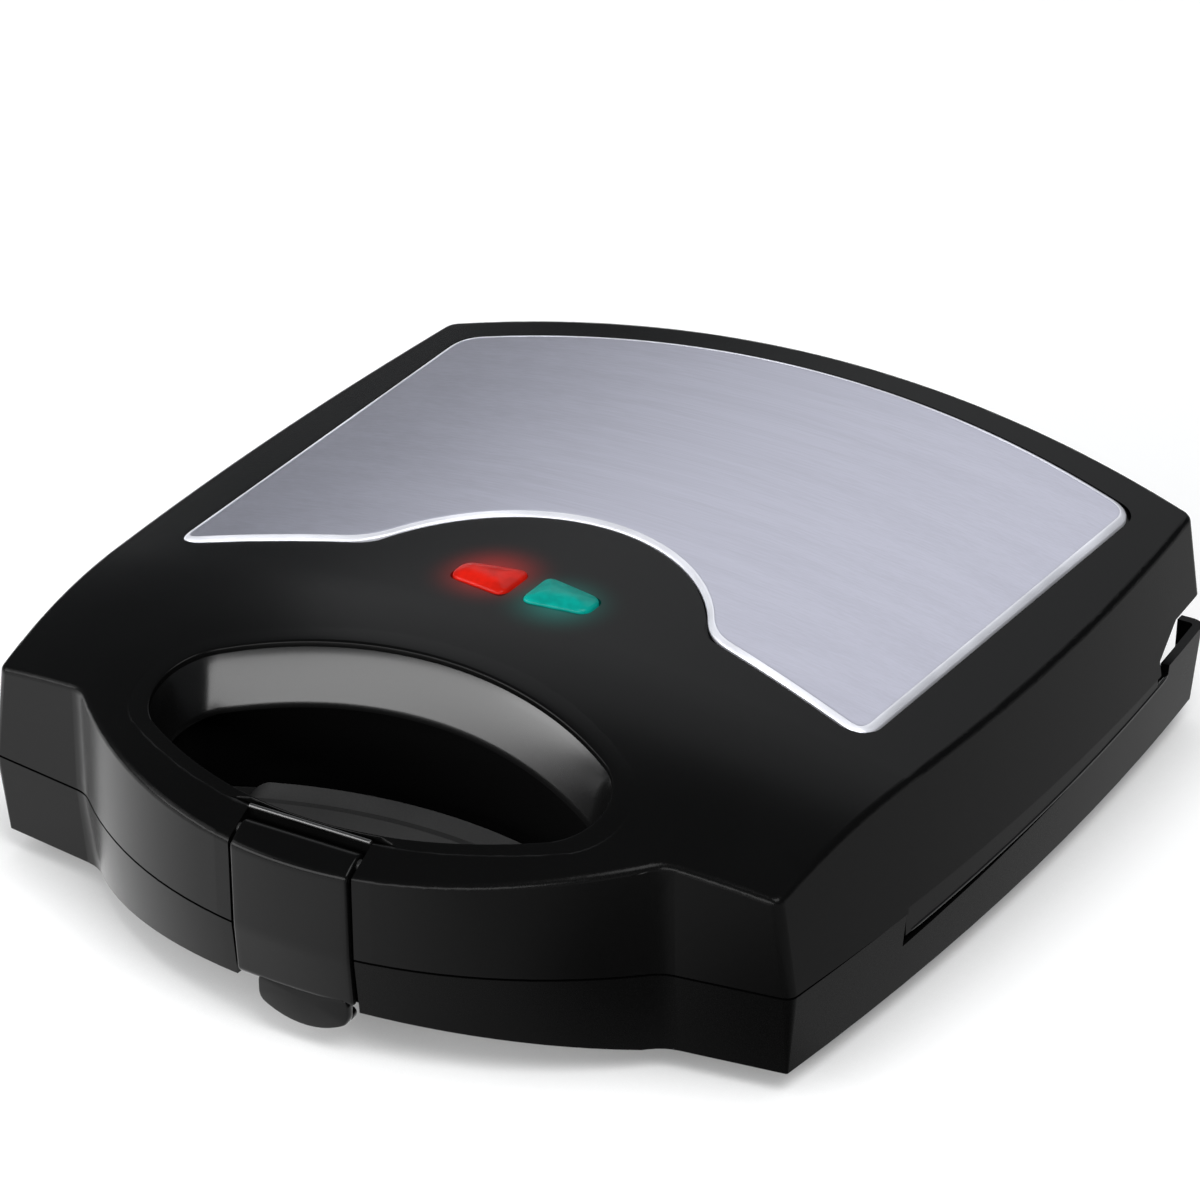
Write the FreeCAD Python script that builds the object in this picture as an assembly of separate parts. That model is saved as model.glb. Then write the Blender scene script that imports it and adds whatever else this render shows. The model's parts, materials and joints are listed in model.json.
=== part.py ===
import FreeCAD, Part
import math
import os

V = FreeCAD.Vector
X_AXIS = V(1, 0, 0)
Y_AXIS = V(0, 1, 0)
Z_AXIS = V(0, 0, 1)

# Sandwich maker, in millimetres. Depths run back from the two front corners of the housing,
# heights run up from the bottom edge of the base housing.

# Housing outline in plan
corner_half = 115.0        # half width at the front corners
cheek_half = 84.0          # half width where the handle starts to swell forward
cheek_reach = 4.6          # how far in front of the corners that place stands
handle_radius = 120.5      # radius of the handle's round front
handle_reach = 38.0        # how far forward the middle of the handle stands
side_bow = 6.0             # swell of each side
base_rear_half = 115.0     # half width at the base's rear corners
base_depth = 216.0         # depth of the base's flat rear wall
lid_rear_half = 117.5      # half width at the lid's rear corners
lid_setback = 6.0          # how far these stand in front of the base's rear wall
lid_rear_bow = 10.5        # swell of the lid's rear edge
front_round = 3.0          # corner radii
cheek_round = 10.0
rear_round = 4.0
inner_round = 0.5          # least radius left on an inner corner

# Heights and walls
foot_height = 6.0
base_height = 22.0         # bottom edge to the parting plane
parting_gap = 0.6          # gap between the lid's and the base's edges
lid_rise = 46.5            # parting plane to the top of the crown
crown_radius = 490.0       # crown across the width
brow_radius = 185.0        # fall of the top towards the handle
brow_start = 54.0          # depth where that fall starts
side_lean_share = 0.136    # lean of the lid's sides per height
base_lean = 2.4            # how far the base's bottom edge stands in
wall = 2.5
rim_round = 2.0            # rounding of the lid's upper edges
overrun = 20.0             # reach of cutting tools past what they cut

# Handle and finger opening
handle_bar = 11.5          # width of the bar in front of the finger opening
handle_shoulder = 16.1     # width left at each end of the opening
opening_rear = 29.5        # depth of the opening's rear edge
opening_end = 14.0         # radius of its ends
handle_lift = 7.0          # how far the lower handle's underside is raised
handle_lift_half = 78.0    # half width of that raised part
handle_lift_back = -4.0    # depth where the raised part ends
well_front = 3.0           # depth of the front of the finger well in the base
well_wall = 2.0
cup_flange = 2.5           # flange of the finger cup under the lower deck
cup_clear = 0.2            # gap round the cup in that deck

# Rear step of the lid, slot along each side and open rear corners of the base
step_setback = 35.3        # start of the step in the lid's lower edge, from the base's rear wall
step_run = 12.0            # depth over which it rises
step_low = 5.7             # heights of the step over the parting plane
step_high = 11.7
bend_share = 0.4           # shift of the step's inner bends per deck thickness
slot_front = 48.0          # side slot in the base's rim
slot_setback = 26.0        # its rear end, from the base's rear wall
slot_deep = 9.5            # its depths at the front and at the rear
slot_shallow = 3.0
slot_width = 7.0           # how far it reaches in from the rear corners' width
lip_set = 1.2              # the lid's lip in the slot, behind the lid's outer face
lip_rise = 1.7             # height of the rebate over it
lip_deep = 6.5             # its depths at the front and at the rear
lip_shallow = 2.4
lip_clear = 0.6            # room at its two ends
nook_width = 31.0          # inner face of each open rear corner, from the base's rear corners
nook_setback = 34.0        # its front face, from the base's rear wall
nook_jamb_in = 3.0         # widths left beside its window in the rear wall
nook_jamb_out = 7.0
nook_sill = 4.5

# Flat cover that closes the base from below
cover_clear = 0.3          # gap round it
cover_front = 2.0          # depth of its front edge
cover_lap = 3.0            # width of the ledge that lies on its edge
cover_ledge_front = 44.0   # depth where that ledge starts

# Decks that close the two housings
deck_thick = 4.0
deck_clear = 0.4

# Cooking plates, measured from the parting plane into each housing
plate_side = 16.0          # plate's sides, from the narrowest of the housing's corners
plate_front = 44.0
plate_setback = 15.2       # rear lip's corners, from the step in the lid
plate_bow = 7.0            # swell of the rear lip
plate_round = 12.0
plate_gap = 1.0            # gap between the two plates
plate_rim = 1.8            # thickness of the rim
plate_skin = 2.0           # thickness of the pockets
plate_clear = 0.4
seat_width = 3.0           # rim that rests on the deck
pocket_margin = 13.0       # rim between the plate's edge and the pockets
pocket_ridge = 9.0         # width of the diagonal ridge
pocket_side = 5.0          # depth of the steep sides
pocket_deep = 9.5          # depth at the deepest point
pocket_draft = 4.0         # how far the steep sides lean in
pocket_round = 7.0
lug_reach = 4.5            # side lugs of the plates
lug_half = 4.0
lug_thick = 1.7
lug_depth = 113.0          # depth of the lugs' middle
lug_root = 3.0             # length of a lug under the rim

# Plate catches
catch_half = 5.5
catch_tip = 1.0            # gap between the plate's edge and the catch's nose
catch_nose = 6.0           # nose over the lug
catch_nose_thick = 1.4
catch_body = 6.0           # length of the sliding body
catch_height = 9.4
catch_flange = 2.1         # side flange that keeps the catch in its channel
catch_flange_low = 4.4     # flange height over the catch's face
catch_flange_thick = 3.4
catch_travel = 4.0
catch_rest_gap = 0.4       # room behind the travel
catch_clear = 0.3
channel_wall = 1.5
spring_leaf = 0.5
spring_height = 3.0
spring_foot = 1.2          # width of each foot of the leaf spring
grip_ribs = 3              # finger ridges on each catch
grip_rib = 0.6

# Reflector pans and heating elements
pan_sheet = 0.6
pan_deep = 14.0
pan_flange = 5.0
element_radius = 3.2
element_inset = 5.6        # tube centre in from the pan's wall
element_height = 11.3      # tube centre over the parting plane
element_bend = 12.0
element_lead_half = 16.0   # half the distance between the two ends
element_tail = 5.0         # length of each end in front of the pan
element_hole_clear = 0.3
saddle_half = 5.0          # clips that hold the element to the pan
saddle_sheet = 0.8
saddle_places_share = (-0.45, 0.45)

# Hinge
hinge_setback = 11.0       # axis in front of the base's rear wall
hinge_height = 19.5
hinge_pin_radius = 2.0
hinge_bore_clear = 0.05
hinge_eye_radius = 6.2
hinge_arm_in = 62.0        # inner and outer faces of each lid arm
hinge_arm_out = 73.0
hinge_ear = 6.0            # width of each base ear
hinge_side_clear = 0.4
hinge_arm_half = 5.5       # half depth of an arm
hinge_room = 1.0           # room round the swinging arm

# Front latch
latch_half = 16.5
latch_clear = 1.0
latch_proud = 0.6
latch_thick = 3.8          # clip's rear face, from the handle's front
channel_deep = 6.5         # floor of the latch channel, from the handle's front
latch_block_half = 22.0
latch_block_deep = 9.1
latch_pivot_deep = 6.4     # pivot, from the handle's front
latch_pivot_height = 45.2
latch_knuckle = 2.9
latch_pin_radius = 1.5
latch_pin_half = 20.5
latch_pocket_low = 41.4    # floor of the pocket round the pivot
latch_arm_low = 42.4
latch_bottom = 8.4
latch_tab_half = 12.5
latch_tab_deep = 2.0       # tab's face, from the handle's front
latch_tab_bottom = 3.4     # height of the tab's two lower corners
latch_tab_bow = 4.0        # swell of its lower edge
latch_tab_round = 3.0
latch_hook_top = 6.2
latch_hook_deep = 5.8      # hook's tip, from the handle's front

# Top panel and lamps
panel_front_side = 14.5    # front corners, from the housing's front corners
panel_front = 59.5         # depth of the front corners
panel_ridge = 85.7         # depth where the two front edges would meet
panel_arch = 105.5         # depth of the top of the arch between them
panel_arch_radius = 52.5
panel_tip_round = 8.0      # rounding where the arch meets the front edges
panel_rear_side = 15.0     # rear corners, from the lid's rear corners
panel_setback = 11.5       # rear corners, from the lid's rear corners
panel_rear_bow = 12.0
panel_round = 6.5
panel_sunk = 1.2
panel_proud = 0.8
panel_clear = 0.3
lamp_gap_half = 2.2        # half the distance between the lenses
lamp_width = 18.0
lamp_inner_half = 7.2      # half depth at the middle of the lid
lamp_outer_half = 4.2
lamp_depth = 68.5
lamp_round = 3.0
lamp_proud = 0.9
lamp_body = 5.0            # how far a lens reaches into the lid
lamp_clear = 0.15
lamp_flange = 1.4
bulb_radius = 2.6
bulb_length = 13.0
bulb_drop = 2.2            # gap under the lens
holder_thick = 2.0
holder_half = 29.0
holder_reach = 6.0
holder_post = 3.2
cradle_height = 1.5

# Screws, feet and small electrical pieces
screw_radius = 1.5
screw_clear = 0.05
screw_head_radius = 3.0
screw_head = 2.0
screw_length = 11.0
screw_slot = 0.8
screw_spare = 0.5          # depth of a screw's hole past its tip
boss_radius = 4.2
boss_places_share = ((0.85, 0.105), (0.3, 0.915))
foot_radius = 9.0
foot_taper = 1.5
foot_spigot = 3.0
foot_places_share = ((0.74, 0.09), (0.74, 0.86))
gland_side = 46.0
gland_height = 10.0
gland_neck = 4.8
gland_flange = 6.6
gland_flange_thick = 1.8
gland_bore = 3.4
gland_pad = 5.5            # thickness of the round pad that it sits in
gland_pad_margin = 0.7     # width of the pad round the flange
terminal_side = 20.0
terminal_width = 30.0
terminal_length = 14.0
terminal_tall = 12.0
terminal_ways = 3
terminal_hole = 2.0
fuse_radius = 2.2
fuse_length = 16.0
fuse_lead = 0.7
fuse_lead_length = 12.0
thermostat_radius = 9.0
thermostat_tall = 6.0
thermostat_flange = 12.0
thermostat_sheet = 1.0
thermostat_tab = 3.0
thermostat_tab_tall = 7.0
thermostat_depth_share = 0.5
lead_radius = 1.1
lead_bend = 2.5
lead_lift = 8.5            # height of the lid leads over the upper pan
lead_gap = 0.7             # room between the plate's rear lip and the nearer base lead's middle
lead_side = 3.5            # inner base lead, from the plate's side
lead_pitch = 3.0           # distance between the two base leads


def handle_end():
    """Where the handle's round front meets the line from a cheek to its front corner."""
    centre = V(0, handle_radius - handle_reach, 0)
    cheek = V(cheek_half, -cheek_reach, 0)
    line = (V(corner_half, 0, 0) - cheek).normalize()
    away = cheek - centre
    half_chord = math.sqrt(handle_radius ** 2 - away.cross(line).Length ** 2)
    return cheek + line * (half_chord - away.dot(line))


# Worked out from the sizes above
parting = base_height
top = parting + lid_rise
lid_rear_corner = base_depth - lid_setback
lid_depth = lid_rear_corner + lid_rear_bow
step_front = base_depth - step_setback
step_rear = step_front + step_run
slot_rear = base_depth - slot_setback
nook_front = base_depth - nook_setback
nook_in = base_rear_half - nook_width
opening_front = handle_reach - handle_bar
opening_half = handle_end().x - handle_shoulder
opening_reach = (opening_rear + opening_front) / 2
opening_centre = (opening_rear - opening_front) / 2
latch_back = handle_reach - latch_thick
channel_back = handle_reach - channel_deep
latch_block_back = handle_reach - latch_block_deep
latch_pivot_reach = handle_reach - latch_pivot_deep
plate_half = min(corner_half, base_rear_half, lid_rear_half) - plate_side
plate_rear = step_front - plate_setback
hinge_depth = base_depth - hinge_setback
panel_rear = lid_rear_corner - panel_setback
deck_low = parting_gap / 2
deck_high = deck_low + deck_thick
plate_low = plate_gap / 2
seat_low = plate_low + plate_rim
pan_top = deck_high + pan_deep
screw_places = [
    (side * x_share * corner_half, y_share * lid_depth)
    for x_share, y_share in boss_places_share for side in (-1, 1)
]
screw_faces = [parting + deck_low] * 2 + [parting + step_high] * 2
foot_places = [
    (side * x_share * corner_half, y_share * base_depth)
    for x_share, y_share in foot_places_share for side in (-1, 1)
]
front_y = (handle_reach + latch_proud - lid_depth) / 2
origin_shift = V(0, front_y, foot_height)


def heading(direction, turn):
    """Level direction, turned to the left by an angle."""
    angle = math.atan2(direction.y, direction.x) + turn
    return V(math.cos(angle), math.sin(angle), 0)


def outline(corners, bows, inset, z):
    """Closed wire through corners (x, y, radius), counter-clockwise, moved in by inset.

    Each side is straight, or an arc that swells out by its bow, and the rounded
    corners run smoothly into both of their sides.
    """
    points = [V(x, y, z) for x, y, _ in corners]
    count = len(points)
    chords = [points[(i + 1) % count] - points[i] for i in range(count)]
    swings = [2 * math.atan(2 * bow / chord.Length) for bow, chord in zip(bows, chords)]
    before = [heading(chords[i - 1], swings[i - 1]) for i in range(count)]
    after = [heading(chords[i], -swings[i]) for i in range(count)]
    places = []
    for i in range(count):
        left, other = heading(before[i], math.pi / 2), heading(after[i], math.pi / 2)
        places.append(points[i] + (left + other) * (inset / (1 + left.dot(other))))
    sides = []
    for i in range(count):
        start, finish = places[i], places[(i + 1) % count]
        if bows[i] == 0:
            sides.append(Part.makeLine(start, finish))
        else:
            radius = chords[i].Length / (2 * math.sin(swings[i])) - inset
            half = (finish - start).Length / 2
            bow = radius - math.sqrt(radius * radius - half * half)
            swell = (start + finish) * 0.5 + heading(finish - start, -math.pi / 2) * bow
            sides.append(Part.Arc(start, swell, finish).toShape())
    rounds = {}
    for i in range(count):
        radius = corners[i][2]
        if radius == 0:
            continue
        convex = before[i].cross(after[i]).z > 0
        radius = max(radius - inset, inner_round) if convex else radius + inset
        corner = Part.ChFi2d.AnaFilletAlgo(sides[i - 1], sides[i], Part.Plane(places[i], Z_AXIS))
        corner.perform(radius)
        rounds[i], sides[i - 1], sides[i] = corner.result()
    edges = []
    for i in range(count):
        edges += [rounds[i]] if i in rounds else []
        edges.append(sides[i])
    return Part.Wire(edges)


def prism(wire, low, high):
    """Upright solid over a level wire drawn at height zero."""
    face = Part.Face(wire)
    face.translate(V(0, 0, low))
    return face.extrude(V(0, 0, high - low))


def box(x0, x1, y0, y1, z0, z1):
    return Part.makeBox(x1 - x0, y1 - y0, z1 - z0, V(x0, y0, z0))


def rod(radius, start, direction, length):
    return Part.makeCylinder(radius, length, start, direction)


def side_profile(points, half):
    """Solid of a depth and height polygon, carried across the width from -half to half."""
    loop = [V(-half, y, z) for y, z in points]
    face = Part.Face(Part.makePolygon(loop + loop[:1]))
    return face.extrude(V(2 * half, 0, 0))


def tube(points, radius, bend):
    """Round bar along straight runs joined by arcs of one bend radius."""
    edges = []
    start = points[0]
    for i in range(1, len(points) - 1):
        before = (points[i] - points[i - 1]).normalize()
        after = (points[i + 1] - points[i]).normalize()
        turn = before.getAngle(after)
        reach = bend * math.tan(turn / 2)
        bulge = bend * (1 / math.cos(turn / 2) - 1)
        enter, leave = points[i] - before * reach, points[i] + after * reach
        edges.append(Part.makeLine(start, enter))
        middle = points[i] + (after - before).normalize() * bulge
        edges.append(Part.Arc(enter, middle, leave).toShape())
        start = leave
    edges.append(Part.makeLine(start, points[-1]))
    first = (points[1] - points[0]).normalize()
    section = Part.Wire(Part.makeCircle(radius, points[0], first))
    return Part.Wire(edges).makePipeShell([section], True, False)


def lowered(shape):
    """The same piece in the base: mirrored across the parting plane."""
    return shape.mirror(V(0, 0, parting), Z_AXIS)


def body_corners(half, rear_half, rear_corner):
    end = handle_end()
    return [
        (-end.x, end.y, cheek_round),
        (end.x, end.y, cheek_round),
        (half, 0, front_round),
        (rear_half, rear_corner, rear_round),
        (-rear_half, rear_corner, rear_round),
        (-half, 0, front_round),
    ]


def body_bows(rear_bow):
    swell = handle_reach + handle_end().y
    return [swell, 0, side_bow, rear_bow, side_bow, 0]


def lid_wire(inset, z):
    """Lid outline at a height: the sides lean in, the front and rear stay upright."""
    lean = max(z - parting, 0) * side_lean_share
    corners = body_corners(corner_half - lean, lid_rear_half - lean, lid_rear_corner)
    return outline(corners, body_bows(lid_rear_bow), inset, z)


def base_wire(inset, z):
    corners = body_corners(corner_half, base_rear_half, base_depth)
    return outline(corners, body_bows(0), inset, z)


def oval(grow):
    """Finger opening grown by a wall: two wide arcs that run into round ends."""
    half, reach, end = opening_half + grow, opening_reach + grow, opening_end + grow
    across = half - end
    radius = (across * across + reach * reach - end * end) / (2 * (reach - end))
    lean = math.atan2(across, radius - reach)
    centre = V(0, opening_centre, 0)
    meet = V(across + end * math.sin(lean), end * math.cos(lean), 0)
    loop = [V(half, 0, 0), meet, V(0, reach, 0), V(-meet.x, meet.y, 0),
            V(-half, 0, 0), V(-meet.x, -meet.y, 0), V(0, -reach, 0), V(meet.x, -meet.y, 0)]
    loop = [centre + point for point in loop]
    stops = [(7, 0, 1), (1, 2, 3), (3, 4, 5), (5, 6, 7)]
    return Part.Wire([Part.Arc(loop[i], loop[j], loop[k]).toShape() for i, j, k in stops])


def crown(lift):
    """Everything under the lid's top surface, which is raised by lift."""
    rear, front = lid_depth + overrun, -handle_reach - overrun
    radius = brow_radius + lift
    centre = top - brow_radius
    fall = math.asin((brow_start - front) / radius)
    brow_end = V(0, front, centre + radius * math.cos(fall))
    brow_mid = V(0, brow_start - radius * math.sin(fall / 2), centre + radius * math.cos(fall / 2))
    brow_top = V(0, brow_start, top + lift)
    rear_top = V(0, rear, top + lift)
    rear_low, front_low = V(0, rear, -overrun), V(0, front, -overrun)
    edges = [
        Part.makeLine(rear_top, brow_top),
        Part.Arc(brow_top, brow_mid, brow_end).toShape(),
        Part.makeLine(brow_end, front_low),
        Part.makeLine(front_low, rear_low),
        Part.makeLine(rear_low, rear_top),
    ]
    axis = V(0, 0, top - crown_radius)
    sweep = math.degrees(math.asin((corner_half + side_bow + overrun) / crown_radius))
    face = Part.Face(Part.Wire(edges))
    face.rotate(axis, Y_AXIS, -sweep)
    return face.revolve(axis, Y_AXIS, 2 * sweep)


def top_layer(wire, low, high):
    """Slice of an upright prism between two surfaces parallel to the lid's top."""
    column = prism(wire, parting, top + overrun)
    return column.common(crown(high)).cut(crown(low))


def step_cut():
    """Space under the raised rear of the lid."""
    rear = lid_depth + overrun
    points = [
        (step_front, parting - overrun),
        (step_front, parting + step_low),
        (step_rear, parting + step_high),
        (rear, parting + step_high),
        (rear, parting - overrun),
    ]
    return side_profile(points, corner_half + overrun)


def side_wedge(front_drop, rear_drop, room, half):
    """Wedge along the side slot, up from its slanted underside below the parting plane."""
    front, rear = slot_front + room, slot_rear - room
    points = [(front, parting - front_drop), (rear, parting - rear_drop),
              (rear, parting + lip_rise), (front, parting + lip_rise)]
    return side_profile(points, half)


def side_lips():
    """Lips under the lid's sides that hang down into the base's slots."""
    low, high = parting - lip_deep, parting + 2 * lip_rise
    strip = prism(lid_wire(lip_set, 0), low, high).cut(prism(lid_wire(wall, 0), low, high))
    return strip.common(side_wedge(lip_deep, lip_shallow, lip_clear, corner_half + overrun))


def side_rebates():
    """Shallow steps in the lid's outer faces over those lips."""
    low, high = parting - lip_deep, parting + lip_rise
    strip = prism(lid_wire(-wall, 0), low, high).cut(prism(lid_wire(lip_set, 0), low, high))
    return strip.common(side_wedge(lip_deep, lip_shallow, 0, corner_half + overrun))


def nook(side, grow, low, high):
    """Space of one open rear corner of the base, grown by a wall."""
    x0, x1 = sorted((side * (nook_in - grow), side * (corner_half + overrun)))
    return box(x0, x1, nook_front - grow, base_depth + overrun, low, high)


def latch_channel(low, high):
    """Slot down the front of both handles, which the clip lies in."""
    half = latch_half + latch_clear
    return box(-half, half, -handle_reach - overrun, -channel_back, low, high)


def latch_block(low, high):
    half = latch_block_half
    return box(-half, half, -handle_reach, -latch_block_back, low, high)


def handle_lift_cut(grow):
    """Arched space that raises the lower handle's underside."""
    half, lift = handle_lift_half, handle_lift
    radius = (half * half + lift * lift) / (2 * lift)
    length = handle_reach + overrun + handle_lift_back + grow
    start = V(0, -handle_reach - overrun, lift - radius)
    return rod(radius + grow, start, Y_AXIS, length)


def rim_edges(solid):
    """Edges that bound the lid's top surface."""
    tops = []
    for face in solid.Faces:
        surface = face.Surface
        domed = isinstance(surface, Part.Toroid)
        arched = isinstance(surface, Part.Cylinder) and abs(surface.Radius - crown_radius) < parting_gap
        if domed or arched:
            tops.append(face)
    return [edge for edge in solid.Edges
            if sum(any(edge.isSame(other) for other in face.Edges) for face in tops) == 1]


def cover_plan(inset, low, high):
    """Upright slab inside the base's walls, behind the lower handle and clear of the open corners."""
    slab = prism(base_wire(base_lean + wall + inset, 0), low, high)
    front = box(-corner_half - overrun, corner_half + overrun, -handle_reach - overrun, cover_front + inset,
                low, high)
    return slab.cut([front] + [nook(side, wall + inset, low, high) for side in (-1, 1)])


def cover_ledge():
    """Ledge along the base's side walls, back to the hinge, that lies on the cover's edge."""
    low, high = wall, 2 * wall
    half = hinge_arm_in - hinge_side_clear - hinge_ear
    front = box(-corner_half - overrun, corner_half + overrun, -handle_reach - overrun, cover_ledge_front,
                low, high)
    middle = box(-half, half, cover_ledge_front, base_depth, low, high)
    return cover_plan(-wall / 2, low, high).cut([cover_plan(cover_lap, low, high), front, middle])


def bottom_cover():
    pads = [rod(boss_radius, V(x, y, 0), Z_AXIS, wall + screw_head) for x, y in screw_places]
    plate = cover_plan(cover_clear, 0, wall).fuse(pads).removeSplitter()
    cuts = []
    for x, y in screw_places:
        cuts.append(rod(screw_radius + screw_clear, V(x, y, -overrun), Z_AXIS, 2 * overrun))
        cuts.append(rod(screw_head_radius + screw_clear, V(x, y, -overrun), Z_AXIS, overrun + screw_head))
    for x, y in foot_places:
        cuts.append(rod(foot_spigot + screw_clear, V(x, y, -overrun), Z_AXIS, 2 * overrun))
    return plate.cut(cuts)


def base_housing():
    outer = Part.makeLoft([base_wire(base_lean, 0), base_wire(0, parting - deck_low)], True, True)
    inner = Part.makeLoft([base_wire(base_lean + wall, 0), base_wire(wall, parting)], True, True)
    inner = inner.cut(box(-corner_half - overrun, corner_half + overrun,
                          -handle_reach - overrun, base_depth + overrun, -overrun, wall))
    inner = inner.cut(handle_lift_cut(wall))
    shell = outer.cut(inner)
    block = latch_block(0, parting - deck_low).common(outer)
    half, rear = hinge_arm_in - hinge_side_clear - hinge_ear, hinge_arm_out + hinge_side_clear
    for side in (-1, 1):
        for near in (half, rear):
            x0 = near if side > 0 else -near - hinge_ear
            ear = box(x0, x0 + hinge_ear, hinge_depth - hinge_arm_half, base_depth, 0, hinge_height)
            eye = rod(hinge_eye_radius, V(x0, hinge_depth, hinge_height), X_AXIS, hinge_ear)
            shell = shell.fuse([ear.common(outer), eye])
    gland = V(gland_side, base_depth - gland_pad, gland_height)
    pad = rod(gland_flange + gland_pad_margin, gland, Y_AXIS, gland_pad)
    nooks = [nook(side, wall, 0, parting - deck_low).cut(nook(side, 0, 0, parting)).common(outer)
             for side in (-1, 1)]
    shell = shell.cut(cover_plan(0, -overrun, wall))
    shell = shell.fuse([block, pad, cover_ledge()] + nooks).removeSplitter()
    cuts = [handle_lift_cut(0), latch_channel(-overrun, parting + overrun)]
    keep = base_rear_half - slot_width
    slot = side_wedge(slot_deep, slot_shallow, 0, corner_half + overrun)
    cuts.append(slot.cut(side_wedge(slot_deep, slot_shallow, 0, keep)))
    notch_low = hinge_height - hinge_eye_radius - hinge_room
    for side in (-1, 1):
        x0, x1 = sorted((side * (nook_in + nook_jamb_in), side * (base_rear_half - nook_jamb_out)))
        cuts.append(box(x0, x1, base_depth - 2 * wall, base_depth + overrun, nook_sill, parting + overrun))
        x0, x1 = sorted((side * (hinge_arm_in - hinge_side_clear), side * (hinge_arm_out + hinge_side_clear)))
        cuts.append(box(x0, x1, hinge_depth, base_depth + overrun, notch_low, parting + overrun))
    bore = hinge_pin_radius + hinge_bore_clear
    cuts.append(rod(bore, V(-corner_half, hinge_depth, hinge_height), X_AXIS, 2 * corner_half))
    for x, y in foot_places:
        cuts.append(rod(foot_spigot + screw_clear, V(x, y, -overrun), Z_AXIS, 2 * overrun))
    cuts.append(rod(gland_neck + screw_clear, gland, Y_AXIS, overrun))
    return shell.cut(cuts)


def lid_housing():
    low, high = parting + deck_low, top + overrun
    outer = Part.makeLoft([lid_wire(0, low), lid_wire(0, high)], True, True).common(crown(0))
    skin = outer.cut(prism(oval(0), low - overrun, high))
    skin = skin.makeFillet(rim_round, rim_edges(skin))
    inner = Part.makeLoft([lid_wire(wall, low), lid_wire(wall, high)], True, True)
    hollow = inner.common(crown(-wall)).cut(prism(oval(wall), low, high))
    block = latch_block(low, high).common(skin)
    posts = [rod(boss_radius, V(x, y, face + deck_thick), Z_AXIS, lid_rise)
             for (x, y), face in zip(screw_places, screw_faces)]
    posts += [rod(holder_post, V(x, lamp_depth, holder_top()), Z_AXIS, lid_rise) for x in holder_places()]
    posts = [post.common(crown(-wall / 2)) for post in posts]
    shell = skin.cut(hollow).cut(side_rebates()).fuse([block, side_lips()] + posts)
    cuts = [step_cut()]
    cuts.append(latch_channel(low - overrun, high))
    half = latch_half + latch_clear
    pocket_rear = latch_pivot_reach - latch_knuckle - latch_clear
    cuts.append(box(-half, half, -handle_reach, -pocket_rear, latch_pocket_low, high))
    pin = V(-latch_pin_half, -latch_pivot_reach, latch_pivot_height)
    cuts.append(rod(latch_pin_radius + hinge_bore_clear, pin, X_AXIS, 2 * latch_pin_half))
    cuts.append(panel_column(-panel_clear).cut(crown(-panel_sunk)))
    for side in (-1, 1):
        cuts.append(prism(lamp_wire(side, -lamp_clear), parting + lid_rise / 2, high))
    for (x, y), face in zip(screw_places, screw_faces):
        cuts.append(rod(screw_radius + screw_clear, V(x, y, face), Z_AXIS, screw_length + screw_spare))
    for x in holder_places():
        start = V(x, lamp_depth, holder_top())
        cuts.append(rod(screw_radius + screw_clear, start, Z_AXIS, screw_length / 2))
    return shell.cut(cuts)


def plate_corners():
    return [
        (-plate_half, plate_front, plate_round),
        (plate_half, plate_front, plate_round),
        (plate_half, plate_rear, plate_round),
        (-plate_half, plate_rear, plate_round),
    ]


def plate_wire(inset, z):
    return outline(plate_corners(), [0, 0, plate_bow, 0], inset, z)


def pocket(diagonal, grow, deep):
    """Triangular pocket: steep sides, then three faces that fall to one deepest point."""
    x0, x1 = -plate_half + pocket_margin, plate_half - pocket_margin
    y0, y1 = plate_front + pocket_margin, plate_rear - pocket_margin
    if diagonal > 0:
        loop = [(x1, y0), (x1, y1), (x0, y1)]
    else:
        loop = [(x0, y1), (x0, y0), (x1, y0)]
    loop = [(x, y, pocket_round) for x, y in loop]
    flat = [0, 0, 0]
    across = pocket_ridge / 2
    mouth = parting + plate_low
    upper = outline(loop, flat, across - grow, mouth)
    lower = outline(loop, flat, across - grow + pocket_draft, mouth + pocket_side + grow)
    tip = sum((V(x, y, 0) for x, y, _ in loop), V(0, 0, 0)) * (1 / len(loop))
    tip = V(tip.x, tip.y, mouth + deep)
    steep = Part.makeLoft([upper, lower], True, True)
    return steep.fuse(Part.makeLoft([lower, Part.Vertex(tip)], True, True))


def cooking_plate():
    rim = prism(plate_wire(0, 0), parting + plate_low, parting + seat_low)
    bowls = [pocket(d, plate_skin, pocket_deep + plate_skin) for d in (-1, 1)]
    lugs = []
    for side in (-1, 1):
        x0, x1 = sorted((side * (plate_half - lug_root), side * (plate_half + lug_reach)))
        lugs.append(box(x0, x1, lug_depth - lug_half, lug_depth + lug_half,
                        parting + seat_low, parting + seat_low + lug_thick))
    solid = rim.fuse(bowls + lugs).removeSplitter()
    return solid.cut([pocket(d, 0, pocket_deep) for d in (-1, 1)])


def catch_slot_end():
    return plate_half + catch_nose + catch_body + catch_travel + catch_rest_gap


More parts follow.
